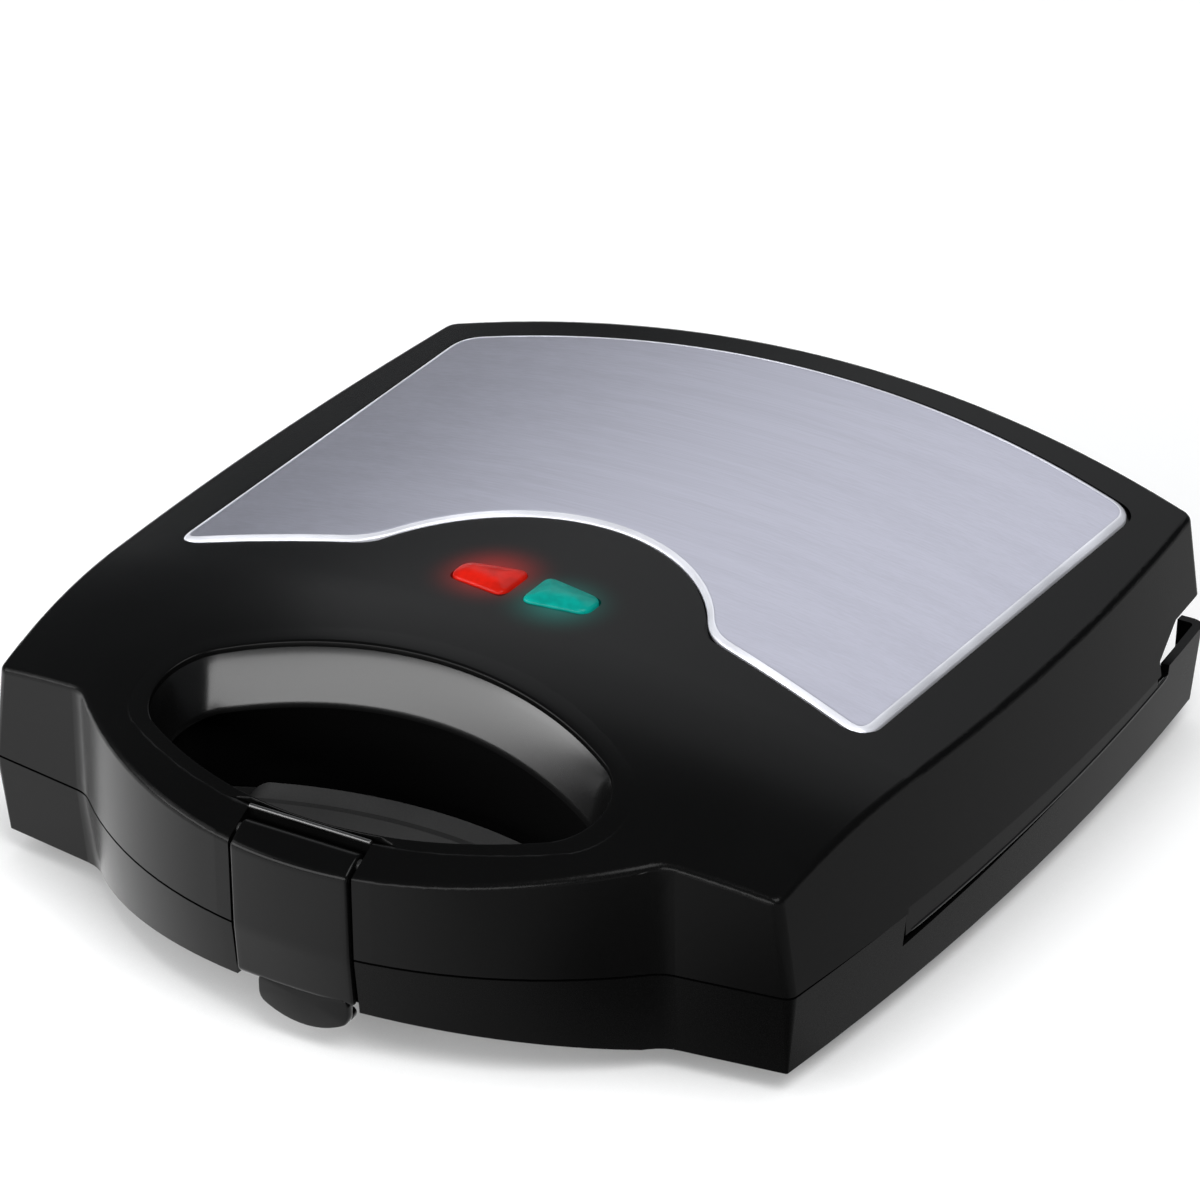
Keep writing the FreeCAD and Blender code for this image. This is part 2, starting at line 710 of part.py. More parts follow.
def deck_slab(wire):
    """Deck of one housing with the plate's seat, the catch's slot and channel, and screw holes."""
    low, high = parting + deck_low, parting + deck_high
    slab = prism(wire, low, high)
    end = catch_slot_end()
    outer = catch_half + catch_flange + catch_clear + channel_wall
    inner = outer - channel_wall
    cap = parting + deck_low + catch_height + catch_clear
    channel = box(plate_half + lug_reach, end + channel_wall, lug_depth - outer, lug_depth + outer,
                  high - deck_thick / 2, cap + channel_wall)
    channel = channel.cut(box(plate_half, end, lug_depth - inner, lug_depth + inner, high, cap))
    slab = slab.fuse(channel)
    slot = catch_half + catch_clear
    under = parting + seat_low + lug_thick + plate_clear
    reach = plate_half + lug_reach + plate_clear
    half = lug_half + plate_clear
    cuts = [
        prism(plate_wire(seat_width, 0), low - overrun, high + overrun),
        prism(plate_wire(-plate_clear, 0), low - overrun, parting + seat_low),
        box(plate_half, end, lug_depth - slot, lug_depth + slot, low - overrun, high),
        box(-reach, -plate_half + seat_width, lug_depth - half, lug_depth + half, parting + seat_low
            - 2 * plate_clear, under),
        box(plate_half - seat_width, reach, lug_depth - half, lug_depth + half, low, under),
    ]
    block = latch_block_half + deck_clear
    cuts.append(box(-block, block, -handle_reach - overrun, -latch_block_back + deck_clear,
                    low - overrun, high + overrun))
    return slab.cut(cuts)


def upper_deck():
    low, high = parting + deck_low, parting + deck_high
    inset = wall + deck_clear
    slab = deck_slab(lid_wire(inset + side_lean_share * deck_high, 0))
    rear = lid_depth + overrun
    slab = slab.cut(box(-corner_half - overrun, corner_half + overrun, step_front, rear, low, high + overrun))
    bend = bend_share * deck_thick
    bent = [
        (step_front - deck_thick, low), (step_front, low), (step_front, parting + step_low),
        (step_rear, parting + step_high), (rear, parting + step_high),
        (rear, parting + step_high + deck_thick), (step_rear - bend, parting + step_high + deck_thick),
        (step_front - deck_thick, parting + step_low + bend),
    ]
    within = Part.makeLoft([lid_wire(inset, low), lid_wire(inset, top)], True, True)
    raised = side_profile(bent, corner_half + overrun).common(within)
    slab = slab.fuse(raised)
    slab = slab.cut(prism(oval(wall + deck_clear), low - overrun, high + overrun))
    for side in (-1, 1):
        x0 = hinge_arm_in if side > 0 else -hinge_arm_out
        width = hinge_arm_out - hinge_arm_in
        arm = box(x0, x0 + width, hinge_depth - hinge_arm_half, hinge_depth + hinge_arm_half,
                  hinge_height, parting + step_high)
        eye = rod(hinge_eye_radius, V(x0, hinge_depth, hinge_height), X_AXIS, width)
        slab = slab.fuse([arm, eye])
    slab = slab.removeSplitter()
    cuts = [rod(hinge_pin_radius + hinge_bore_clear, V(-corner_half, hinge_depth, hinge_height),
                X_AXIS, 2 * corner_half)]
    for (x, y), face in zip(screw_places, screw_faces):
        cuts.append(rod(screw_radius + screw_clear, V(x, y, face - overrun), Z_AXIS, 2 * overrun))
        cuts.append(rod(screw_head_radius + screw_clear, V(x, y, face - overrun), Z_AXIS,
                        overrun + screw_head))
    return slab.cut(cuts)


def well_column(grow, low, high):
    """Upright column of the finger well, grown by a margin; its front is flat."""
    front = box(-opening_half - overrun, opening_half + overrun, -handle_reach - overrun, well_front - grow,
                low, high)
    return prism(oval(grow), low, high).cut(front)


def finger_cup():
    """Cup under the finger opening, with a flange that lies under the lower deck."""
    under = parting - deck_high
    cup = well_column(well_wall, wall, parting - deck_low)
    flange = well_column(well_wall + cup_flange, under - well_wall, under)
    return cup.fuse(flange).removeSplitter().cut(well_column(0, wall + well_wall, parting + overrun))


def lower_deck():
    inset = wall + deck_clear + base_lean * deck_high / base_height
    slab = lowered(deck_slab(base_wire(inset, 0)))
    low, high = parting - deck_high, parting - deck_low
    pads = wall + screw_head
    posts = [rod(boss_radius, V(x, y, pads), Z_AXIS, high - pads) for x, y in screw_places]
    slab = slab.fuse(posts).removeSplitter()
    cuts = [well_column(well_wall + cup_clear, low - overrun, high + overrun)]
    ear_in = hinge_arm_in - 2 * hinge_side_clear - hinge_ear
    ear_out = hinge_arm_out + 2 * hinge_side_clear + hinge_ear
    for side in (-1, 1):
        x0, x1 = sorted((side * ear_in, side * ear_out))
        front_y_cut = hinge_depth - hinge_eye_radius - hinge_room
        cuts.append(box(x0, x1, front_y_cut, base_depth, low - overrun, high + overrun))
        cuts.append(nook(side, wall + deck_clear, low - overrun, high + overrun))
    for x, y in screw_places:
        cuts.append(rod(screw_radius + screw_clear, V(x, y, -overrun), Z_AXIS, overrun + screw_length))
    return slab.cut(cuts)


def plate_catch():
    """Sliding catch: a nose over the plate's lug, a body in the channel and finger ridges."""
    face = parting + deck_low
    tip = plate_half + catch_tip
    body = plate_half + catch_nose
    end = body + catch_body
    y0, y1 = lug_depth - catch_half, lug_depth + catch_half
    nose = box(tip, end, y0, y1, face + catch_clear, face + catch_clear + catch_nose_thick)
    stem = box(body, end, y0, y1, face + catch_clear, face + catch_height)
    foot = box(body, end, y0 - catch_flange, y1 + catch_flange, face + catch_flange_low,
               face + catch_flange_low + catch_flange_thick)
    solid = nose.fuse([stem, foot]).removeSplitter()
    pitch = catch_body / (grip_ribs + 1)
    grooves = []
    for i in range(grip_ribs):
        x = body + pitch * (i + 1) - grip_rib / 2
        grooves.append(box(x, x + grip_rib, y0, y1, face, face + catch_clear + grip_rib))
    return solid.cut(grooves)


def catch_spring():
    """Bent leaf between the catch and the end of its channel."""
    start = plate_half + catch_nose + catch_body
    end = catch_slot_end()
    half = catch_half + catch_flange
    low = parting + deck_low + catch_flange_low
    loop = [
        V(end, lug_depth - half, low), V(start, lug_depth, low), V(end, lug_depth + half, low),
        V(end, lug_depth + half - spring_foot, low), V(start + spring_leaf, lug_depth, low),
        V(end, lug_depth - half + spring_foot, low),
    ]
    return Part.Face(Part.makePolygon(loop + loop[:1])).extrude(V(0, 0, spring_height))


def element_frame():
    """Half width, front and rear of the heating element's loop."""
    hole = seat_width - pan_sheet
    half = plate_half - hole - element_inset
    return half, plate_front + hole + element_inset, plate_rear - hole - element_inset


def reflector():
    low, high = parting + deck_high, parting + pan_top
    inside = seat_width - pan_sheet
    flange = prism(plate_wire(inside - pan_flange, 0), low, low + pan_sheet)
    pan = prism(plate_wire(inside - pan_sheet, 0), low, high)
    hollow = prism(plate_wire(inside, 0), low - overrun, high - pan_sheet)
    pan = pan.fuse(flange).cut(hollow)
    reach = lug_reach + plate_clear
    outer = catch_half + catch_flange + catch_clear + channel_wall + catch_clear
    room = box(plate_half + lug_reach - catch_clear, plate_half + overrun, lug_depth - outer,
               lug_depth + outer, low - overrun, low + pan_sheet)
    room = room.fuse(box(-plate_half - reach, -plate_half + inside, lug_depth - lug_half - plate_clear,
                         lug_depth + lug_half + plate_clear, low - overrun, low + lug_thick))
    z = parting + element_height
    holes = [rod(element_radius + element_hole_clear, V(x, plate_front - overrun, z), Y_AXIS, 2 * overrun)
             for x in (-element_lead_half, element_lead_half)]
    return pan.cut([room] + holes)


def element_end():
    """Depth of the element's two ends, in front of the pan."""
    return plate_front + seat_width - pan_sheet - element_tail


def heating_element():
    half, front, rear = element_frame()
    z = parting + element_height
    end = element_end()
    lead = element_lead_half
    path = [V(-lead, end, z), V(-lead, front + element_bend, z), V(-half, front + element_bend, z),
            V(-half, rear, z), V(half, rear, z), V(half, front + element_bend, z),
            V(lead, front + element_bend, z), V(lead, end, z)]
    return tube(path, element_radius, element_bend)


def element_saddles():
    """Sheet clips that hold the element's rear run to the pan's floor."""
    half, _, rear = element_frame()
    z = parting + element_height
    base = parting + pan_top - pan_sheet
    outer = element_radius + saddle_sheet
    clips = []
    for share in saddle_places_share:
        x0, x1 = share * half - saddle_half, share * half + saddle_half
        strap = rod(outer, V(x0, rear, z), X_AXIS, x1 - x0)
        legs = box(x0, x1, rear - outer, rear + outer, z, base)
        bore = rod(element_radius, V(x0, rear, z), X_AXIS, x1 - x0)
        room = box(x0, x1, rear - element_radius, rear + element_radius, z, base)
        clips.append(strap.fuse(legs).cut([bore, room]))
    return Part.makeCompound(clips)


def hinge_pin(side):
    inner = hinge_arm_in - hinge_side_clear - hinge_ear
    outer = hinge_arm_out + hinge_side_clear + hinge_ear
    start = inner if side > 0 else -outer
    return rod(hinge_pin_radius, V(start, hinge_depth, hinge_height), X_AXIS, outer - inner)


def latch_clip():
    """Front clip: an arm over the handle, a curved face plate, and a tab with a hook under it."""
    front, rise = -handle_reach - overrun, top
    plate = box(-latch_half, latch_half, front, -latch_back, latch_bottom, rise)
    arm = box(-latch_half, latch_half, front, -latch_pivot_reach, latch_arm_low, rise)
    pivot = V(-latch_half, -latch_pivot_reach, latch_pivot_height)
    knuckle = rod(latch_knuckle, pivot, X_AXIS, 2 * latch_half)
    half, low, r = latch_tab_half, latch_tab_bottom, latch_tab_round
    tab_loop = [(-half, low, r), (half, low, r), (half, latch_bottom + r, 0), (-half, latch_bottom + r, 0)]
    tab = Part.Face(outline(tab_loop, [latch_tab_bow, 0, 0, 0], 0, 0))
    tab.rotate(V(0, 0, 0), X_AXIS, 90)
    hook = tab.copy()
    tab.translate(V(0, -latch_back, 0))
    tab = tab.extrude(V(0, latch_tab_deep - latch_thick, 0))
    hook.translate(V(0, latch_hook_deep - handle_reach, 0))
    hook = hook.extrude(V(0, latch_thick - latch_hook_deep, 0))
    hook = hook.common(box(-half, half, front, 0, low - latch_tab_bow, latch_hook_top))
    solid = plate.fuse([arm, tab, hook])
    lean = base_lean * (1 + overrun / base_height)
    lower = Part.makeLoft([base_wire(lean - latch_proud, -overrun), base_wire(-latch_proud, parting)],
                          True, True)
    skin = lower.fuse(prism(lid_wire(-latch_proud, 0), parting, rise))
    solid = solid.common(skin).common(crown(latch_proud)).fuse(knuckle).removeSplitter()
    bore = rod(latch_pin_radius + hinge_bore_clear, pivot, X_AXIS, 2 * latch_half)
    return solid.cut(bore)


def latch_pin():
    start = V(-latch_pin_half, -latch_pivot_reach, latch_pivot_height)
    return rod(latch_pin_radius, start, X_AXIS, 2 * latch_pin_half)


def panel_column(inset):
    """Upright prism of the panel: two slanted front edges with an arch over the lamps between."""
    half, rear_half = corner_half - panel_front_side, lid_rear_half - panel_rear_side
    corners = [
        (-half, panel_front, panel_round), (0, panel_ridge, 0), (half, panel_front, panel_round),
        (rear_half, panel_rear, panel_round), (-rear_half, panel_rear, panel_round),
    ]
    low, high = parting + lid_rise / 2, top + overrun
    column = prism(outline(corners, [0, 0, 0, panel_rear_bow, 0], inset, 0), low, high)
    centre = V(0, panel_arch - panel_arch_radius, low)
    radius = panel_arch_radius + inset
    column = column.cut(rod(radius, centre, Z_AXIS, high - low))
    tips = []
    for edge in column.Edges:
        start, finish = edge.Vertexes[0].Point, edge.Vertexes[-1].Point
        upright = math.hypot(start.x - finish.x, start.y - finish.y) < inner_round
        middle = edge.CenterOfMass
        away = math.hypot(middle.x - centre.x, middle.y - centre.y)
        if upright and abs(away - radius) < inner_round:
            tips.append(edge)
    return column.makeFillet(panel_tip_round - inset, tips)


def top_panel():
    return panel_column(0).common(crown(panel_proud)).cut(crown(-panel_sunk))


def lamp_wire(side, inset):
    """Rounded trapezoid, deeper towards the middle of the lid."""
    near, far = lamp_gap_half, lamp_gap_half + lamp_width
    corners = [
        (near, lamp_depth - lamp_inner_half, lamp_round), (far, lamp_depth - lamp_outer_half, lamp_round),
        (far, lamp_depth + lamp_outer_half, lamp_round), (near, lamp_depth + lamp_inner_half, lamp_round),
    ]
    if side < 0:
        corners = [(-x, y, r) for x, y, r in reversed(corners)]
    return outline(corners, [0, 0, 0, 0], inset, 0)


def lens(side):
    body = top_layer(lamp_wire(side, 0), -lamp_body, lamp_proud)
    flange = top_layer(lamp_wire(side, -lamp_flange), -lamp_body, -wall - lamp_clear)
    return body.fuse(flange).removeSplitter()


def bulb_height():
    return top - lamp_body - bulb_drop - bulb_radius


def holder_top():
    return bulb_height() - bulb_radius - lamp_clear


def holder_places():
    inset = holder_half - holder_post
    return (-inset, inset)


def lamp_bulb(side):
    """Neon tube with a rounded end, lying under its lens."""
    x0 = lamp_gap_half + (lamp_width - bulb_length) / 2
    start = V(side * x0, lamp_depth, bulb_height())
    length = bulb_length - bulb_radius
    body = rod(bulb_radius, start, V(side, 0, 0), length)
    tip = Part.makeSphere(bulb_radius, V(side * (x0 + length), lamp_depth, bulb_height()))
    return body.fuse(tip).removeSplitter()


def lamp_holder():
    """Bracket under the lamps with a cradle for each bulb, hung from two posts."""
    high = holder_top()
    plate = box(-holder_half, holder_half, lamp_depth - holder_reach, lamp_depth + holder_reach,
                high - holder_thick, high)
    x0 = lamp_gap_half + (lamp_width - bulb_length) / 2
    cradles, bores = [], []
    for side in (-1, 1):
        near, far = sorted((side * x0, side * (x0 + bulb_length - bulb_radius)))
        outer = bulb_radius + cradle_height
        cradles.append(box(near, far, lamp_depth - outer, lamp_depth + outer, high, bulb_height()))
        bores.append(rod(bulb_radius + lamp_clear, V(near, lamp_depth, bulb_height()), X_AXIS, far - near))
    for x in holder_places():
        bores.append(rod(screw_radius + screw_clear, V(x, lamp_depth, high - overrun), Z_AXIS, 2 * overrun))
    return plate.fuse(cradles).removeSplitter().cut(bores)


def screw(place, direction, length):
    """Pan-head screw with a slot; place is the underside of its head."""
    head = rod(screw_head_radius, place, direction * -1, screw_head)
    shank = rod(screw_radius, place, direction, length)
    reach = screw_head_radius
    slot = Part.makeBox(2 * reach, screw_slot, screw_slot)
    outer = place - direction * (screw_head - screw_slot / 2)
    slot.translate(outer - V(reach, screw_slot / 2, screw_slot / 2))
    return head.fuse(shank).removeSplitter().cut(slot)


def base_screws():
    return Part.makeCompound([screw(V(x, y, screw_head), Z_AXIS, screw_length - screw_head)
                              for x, y in screw_places])


def lid_screws():
    screws = [screw(V(x, y, face + screw_head), Z_AXIS, screw_length - screw_head)
              for (x, y), face in zip(screw_places, screw_faces)]
    low = holder_top() - holder_thick
    screws += [screw(V(x, lamp_depth, low), Z_AXIS, screw_length / 2) for x in holder_places()]
    return Part.makeCompound(screws)


def foot(place):
    x, y = place
    pad = Part.makeCone(foot_radius - foot_taper, foot_radius, foot_height, V(x, y, -foot_height), Z_AXIS)
    spigot = rod(foot_spigot, V(x, y, 0), Z_AXIS, wall)
    return pad.fuse(spigot).removeSplitter()


def cord_gland():
    """Bush in the rear wall, with a flange each side and an empty bore."""
    start = V(gland_side, base_depth - gland_pad - gland_flange_thick, gland_height)
    length = gland_pad + 2 * gland_flange_thick
    neck = rod(gland_neck, start, Y_AXIS, length)
    inner = rod(gland_flange, start, Y_AXIS, gland_flange_thick)
    outer = rod(gland_flange, V(gland_side, base_depth, gland_height), Y_AXIS, gland_flange_thick)
    bore = rod(gland_bore, start, Y_AXIS, length)
    return neck.fuse([inner, outer]).removeSplitter().cut(bore)


def terminal_rear():
    return base_depth - gland_pad - gland_flange_thick


def terminal_block():
    x0, y1 = terminal_side - terminal_width, terminal_rear()
    block = box(x0, terminal_side, y1 - terminal_length, y1, wall, wall + terminal_tall)
    pitch = terminal_width / terminal_ways
    cuts = []
    for i in range(terminal_ways):
        x = x0 + pitch * (i + 1 / 2)
        middle = parting - element_height
        cuts.append(rod(terminal_hole, V(x, y1 - terminal_length, middle), Y_AXIS, terminal_length))
        cuts.append(rod(terminal_hole, V(x, y1 - terminal_length / 2, middle), Z_AXIS, terminal_tall))
    return block.cut(cuts)


def thermal_fuse():
    """Small can with two wires, lying behind the lower pan."""
    x = -corner_half / 2
    y = plate_rear + plate_bow + fuse_radius
    z = wall + fuse_radius
    can = rod(fuse_radius, V(x, y, z), X_AXIS, fuse_length)
    wire = rod(fuse_lead, V(x - fuse_lead_length, y, z), X_AXIS, fuse_length + 2 * fuse_lead_length)
    return can.fuse(wire).removeSplitter()


def thermostat_place():
    return V(0, plate_front + (plate_rear - plate_front) * thermostat_depth_share, parting + pan_top)


def thermostat():
    """Disc thermostat: flange, body and two blade terminals."""
    place = thermostat_place()
    flange = rod(thermostat_flange, place, Z_AXIS, thermostat_sheet)
    body = rod(thermostat_radius, place, Z_AXIS, thermostat_sheet + thermostat_tall)
    tabs = []
    for side in (-1, 1):
        x = side * thermostat_radius / 2
        z = place.z + thermostat_tall
        tabs.append(box(x - thermostat_sheet / 2, x + thermostat_sheet / 2, place.y - thermostat_tab,
                        place.y + thermostat_tab, z, z + thermostat_tab_tall))
    return flange.fuse([body] + tabs).removeSplitter()


def lid_leads():
    """Two leads from the thermostat's blades forward and down to the ends of the upper element."""
    place = thermostat_place()
    high = place.z + lead_lift
    end = V(0, element_end() + 2 * lead_radius, parting + element_height + element_radius)
    leads = []
    for side in (-1, 1):
        blade = side * (thermostat_radius + thermostat_sheet) / 2
        out = side * element_lead_half
        path = [V(blade, place.y, high), V(out, place.y, high), V(out, end.y, high), V(out, end.y, end.z)]
        leads.append(tube(path, lead_radius, lead_bend))
    return Part.makeCompound(leads)


def base_leads():
    """Two leads from the terminal block round the left of the pan to the lower element's ends."""
    z = parting - element_height
    block = terminal_rear() - terminal_length
    pitch = terminal_width / terminal_ways
    leads = []
    for i, end in enumerate((-element_lead_half, element_lead_half)):
        hole = terminal_side - pitch * (i + 1 / 2)
        step = i * lead_pitch
        rear = plate_rear + plate_bow + lead_gap + step
        front = element_end() - lead_bend - lead_radius - step
        side = -plate_half - lead_side - step
        path = [V(hole, block, z), V(hole, rear, z), V(side, rear, z), V(side, front, z),
                V(end, front, z), V(end, element_end(), z)]
        leads.append(tube(path, lead_radius, lead_bend))
    return Part.makeCompound(leads)


pieces = {
    "base_housing": base_housing,
    "bottom_cover": bottom_cover,
    "finger_cup": finger_cup,
    "lower_deck": lower_deck,
    "lower_reflector": lambda: lowered(reflector()),
    "lower_element": lambda: lowered(heating_element()),
    "lower_element_saddles": lambda: lowered(element_saddles()),
    "lower_plate": lambda: lowered(cooking_plate()),
    "lower_catch": lambda: lowered(plate_catch()),
    "lower_catch_spring": lambda: lowered(catch_spring()),
    "left_hinge_pin": lambda: hinge_pin(-1),
    "right_hinge_pin": lambda: hinge_pin(1),
    "base_screws": base_screws,
    "cord_gland": cord_gland,
    "terminal_block": terminal_block,
    "thermal_fuse": thermal_fuse,
    "base_leads": base_leads,
    "lid_housing": lid_housing,
    "upper_deck": upper_deck,
    "upper_reflector": reflector,
    "upper_element": heating_element,
    "upper_element_saddles": element_saddles,
    "upper_plate": cooking_plate,
    "upper_catch": plate_catch,
    "upper_catch_spring": catch_spring,
    "top_panel": top_panel,
    "power_lens": lambda: lens(-1),
    "ready_lens": lambda: lens(1),
    "power_lamp": lambda: lamp_bulb(-1),
    "ready_lamp": lambda: lamp_bulb(1),
    "lamp_holder": lamp_holder,
    "thermostat": thermostat,
    "lid_leads": lid_leads,
    "lid_screws": lid_screws,
    "latch_pin": latch_pin,
    "latch_clip": latch_clip,
}
foot_names = ("foot_front_left", "foot_front_right", "foot_rear_left", "foot_rear_right")

os.makedirs("parts", exist_ok=True)
for name, make in pieces.items():
    shape = make()
    shape.translate(origin_shift)
    shape.exportStep("parts/" + name + ".step")
for name, place in zip(foot_names, foot_places):
    shape = foot(place)
    shape.translate(origin_shift)
    shape.exportStep("parts/" + name + ".step")
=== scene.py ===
import json
import math

import bmesh
import bpy
import numpy as np
from mathutils import Matrix, Vector

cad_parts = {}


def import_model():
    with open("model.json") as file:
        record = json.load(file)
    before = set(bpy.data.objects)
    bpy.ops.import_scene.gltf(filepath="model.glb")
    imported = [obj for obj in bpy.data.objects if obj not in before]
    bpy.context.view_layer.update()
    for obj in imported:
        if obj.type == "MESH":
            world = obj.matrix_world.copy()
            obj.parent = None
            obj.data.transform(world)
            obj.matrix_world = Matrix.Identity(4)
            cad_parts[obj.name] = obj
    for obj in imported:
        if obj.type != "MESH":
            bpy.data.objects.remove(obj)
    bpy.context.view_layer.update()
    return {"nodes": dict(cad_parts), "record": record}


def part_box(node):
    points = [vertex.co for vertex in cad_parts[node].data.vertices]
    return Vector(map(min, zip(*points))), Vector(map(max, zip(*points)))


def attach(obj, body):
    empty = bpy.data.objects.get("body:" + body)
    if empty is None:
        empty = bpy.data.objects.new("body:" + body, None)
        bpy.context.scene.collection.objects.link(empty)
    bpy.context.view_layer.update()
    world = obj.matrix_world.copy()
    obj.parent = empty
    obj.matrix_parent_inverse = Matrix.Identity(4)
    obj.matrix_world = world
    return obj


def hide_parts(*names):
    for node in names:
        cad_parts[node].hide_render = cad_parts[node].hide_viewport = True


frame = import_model()

MM = 0.001
FULL_TURN = 2 * math.pi
MERGE_REACH = MM * 0.002
SLIVER_REACH = MM * 0.001

# The photograph's camera, in millimetres and radians
PHOTO_SIDE = 1200
FOCAL_PIXELS = 5997.7
SENSOR_WIDTH = 36.0
VIEW_END = 50.0
CAMERA_PLACE = (702.02, -1120.61, 768.11)
CAMERA_YAW = 0.55473
CAMERA_PITCH = 0.49134
CAMERA_ROLL = -0.011375

# Housing, in millimetres: depths run back from the front corners, heights up from the base's bottom edge
CORNER_HALF = 115.0
LID_REAR_HALF = 117.5
LID_DEPTH = 220.5
LID_REAR_CORNER = 210.0
FOOT_HEIGHT = 6.0
PARTING = 22.0
TOP = 68.5
CROWN_RADIUS = 490.0
BROW_RADIUS = 185.0
BROW_START = 54.0
HANDLE_RADIUS = 120.5
HANDLE_REACH = 38.0
BASE_LEAN = 2.4

# Where those axes start in the frame
DEPTH_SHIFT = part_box("lid_housing")[1][1] / MM - LID_DEPTH
SHIFT = np.array((0.0, DEPTH_SHIFT, FOOT_HEIGHT))

# Angles in degrees past which an edge stays sharp
SHARP_EDGE = 40.0
FOLD_EDGE = 50.0
ROLLED_EDGE = 60.0

# Points on an arc of an outline, and steps of a bar's rounded end and of a sheet's underside
ARC_POINTS = 60
END_STEPS = 6
UNDER_STEPS = 3

# Top panel; an edge is a list of insets and heights
PANEL_FRONT_HALF = CORNER_HALF - 14.5
PANEL_REAR_HALF = LID_REAR_HALF - 15.0
PANEL_FRONT = 59.5
PANEL_RIDGE = 85.7
PANEL_ARCH = 105.5
PANEL_ARCH_RADIUS = 52.5
PANEL_REAR = LID_REAR_CORNER - 11.5
PANEL_REAR_BOW = 12.0
PANEL_ROUNDING = 15.0
PANEL_GAP = 0.45
PANEL_SPINE_SHARE = 0.6
PANEL_SPINE = 150.0
PANEL_POINTS = 900
PANEL_RINGS = 26
PANEL_EDGE = ((1.5, -1.1), (1.5, 0.5), (1.6, 0.68), (1.8, 0.76), (2.1, 0.79), (2.6, 0.8))
BEVEL_EDGE = ((0.0, -1.1), (0.0, -0.2), (0.12, 0.1), (0.35, 0.33), (0.7, 0.55), (1.2, 0.76),
              (1.5, 0.85), (1.65, 0.84), (1.72, 0.76), (1.72, -1.1))

# Lamp lenses
LENS_GAP_HALF = 2.2
LENS_WIDTH = 18.0
LENS_INNER_HALF = 7.2
LENS_OUTER_HALF = 4.2
LENS_DEPTH = 68.5
LENS_ROUNDING = 7.0
LENS_GAP = 0.25
LENS_BODY = 4.8
LENS_CROWN = 0.9
LENS_SPINE_SHARE = 0.4
LENS_POINTS = 240
LENS_RINGS = 10
LENS_EDGE = ((0.0, -LENS_BODY), (0.0, 0.1), (0.1, 0.4), (0.35, 0.7), (0.8, 0.95), (1.5, 1.15))

# Finger opening: rim edge as shares of its width with heights, skirt back as shares of lean and drop
OPENING_HALF = 67.03
OPENING_REACH = 28.0
OPENING_CENTRE = 1.5
OPENING_END = 14.0
OPENING_SWEEP_POINTS = 120
RIM_HALF = 63.2
RIM_END = 15.5
RIM_LAP = 2.2
RIM_REAR_LAP = 6.0
RIM_THIN = 0.25
RIM_CLEAR = (18.5, 24.0)
RIM_EDGE = ((0.0, -0.12), (0.35, 0.02), (0.7, 0.05), (0.9, 0.05), (0.96, 0.0), (0.99, -0.2), (1.0, -0.5),
            (1.0, -2.4), (0.8, -2.4), (0.3, -1.2))
SKIRT_START = 1.6
SKIRT_DROP = 13.0
SKIRT_REAR = 6.0
SKIRT_FRONT = 1.0
SKIRT_FLARE = 0.9
SKIRT_POINTS = 420
SKIRT_STEPS = 14
SKIRT_BACK_SHARES = ((1.0, 1.06), (0.86, 1.06), (0.5, 0.7), (0.02, 0.12))

# Front latch; the tab's edge is a list of insets with depths behind each face
LATCH_HALF = 16.5
LATCH_PROUD = 0.6
LATCH_BOTTOM = 8.4
LATCH_BACK = -34.2
LATCH_PIVOT = (-31.6, 45.2)
LATCH_KNUCKLE = 2.9
LATCH_ARM_LOW = 42.4
LATCH_ROUNDING = 3.0
LATCH_END_ROUND = 0.7
LATCH_CAP = (-35.6, 43.6)
LATCH_POINTS = 420
LATCH_STEPS = 26
KNUCKLE_POINTS = 30
TAB_SIDE = 2.4
TAB_HALF = 12.8
TAB_LOW = 3.4
TAB_BOW = 4.0
TAB_FRONT = -36.9
TAB_TOP = LATCH_BOTTOM + 1.6
TAB_ROUNDING = 4.0
TAB_POINTS = 200
TAB_BOW_POINTS = 30
TAB_EDGE = ((0.6, 0.0), (0.18, 0.15), (0.0, 0.5))
HOOK_TOP = 6.2
HOOK_FRONT = LATCH_BACK - 0.5
HOOK_BACK = -32.2

# Bead behind the latch's pocket
POCKET_EDGE = -27.5
BEAD_RADIUS = 0.6
BEAD_SINK = 0.1
BEAD_HALF = LATCH_HALF + 0.8
BEAD_END_ROUND = 0.3
BEAD_POINTS = 24
BEAD_STEPS = 12

# Shelf behind the finger well
LIP_HALF = 50.0
LIP_FRONT = 8.0
LIP_LEAST_DEPTH = 4.0
LIP_LOW = 21.6
LIP_THICK = 1.2
LIP_DISH = 0.004
LIP_RISE = 2.2
LIP_RISE_POWER = 1.5
LIP_ROOT = 14.0
LIP_CLEAR = 0.35
LIP_SEAM = 5.5
LIP_GROOVE = 1.0
LIP_GROOVE_DEPTH = 5.0
LIP_END = 5.0
LIP_SINK = 4.0
LIP_POINTS = 120
LIP_SHELF_STEPS = 10
LIP_BANK_STEPS = 12

# Lower edges of the lid's side lips: depth and height of each end
SIDE_BOW = 6.0
LIP_SET = 1.2
EDGE_FRONT = (49.2, 15.5)
EDGE_REAR = (188.8, 19.6)
EDGE_RADIUS = 0.55
EDGE_END_POWER = 40
EDGE_POINTS = 16
EDGE_STEPS = 60

# Feet: radii and heights of the profile
FOOT_PROFILE = ((0.0, -5.6), (4.6, -5.6), (5.0, -6.0), (7.0, -6.0), (7.6, -5.7), (7.8, -5.0), (8.2, -3.4),
                (8.0, -3.0), (8.0, -2.6), (8.4, -2.2), (8.9, -0.6), (8.7, -0.1), (0.0, -0.1))
FOOT_POINTS = 64


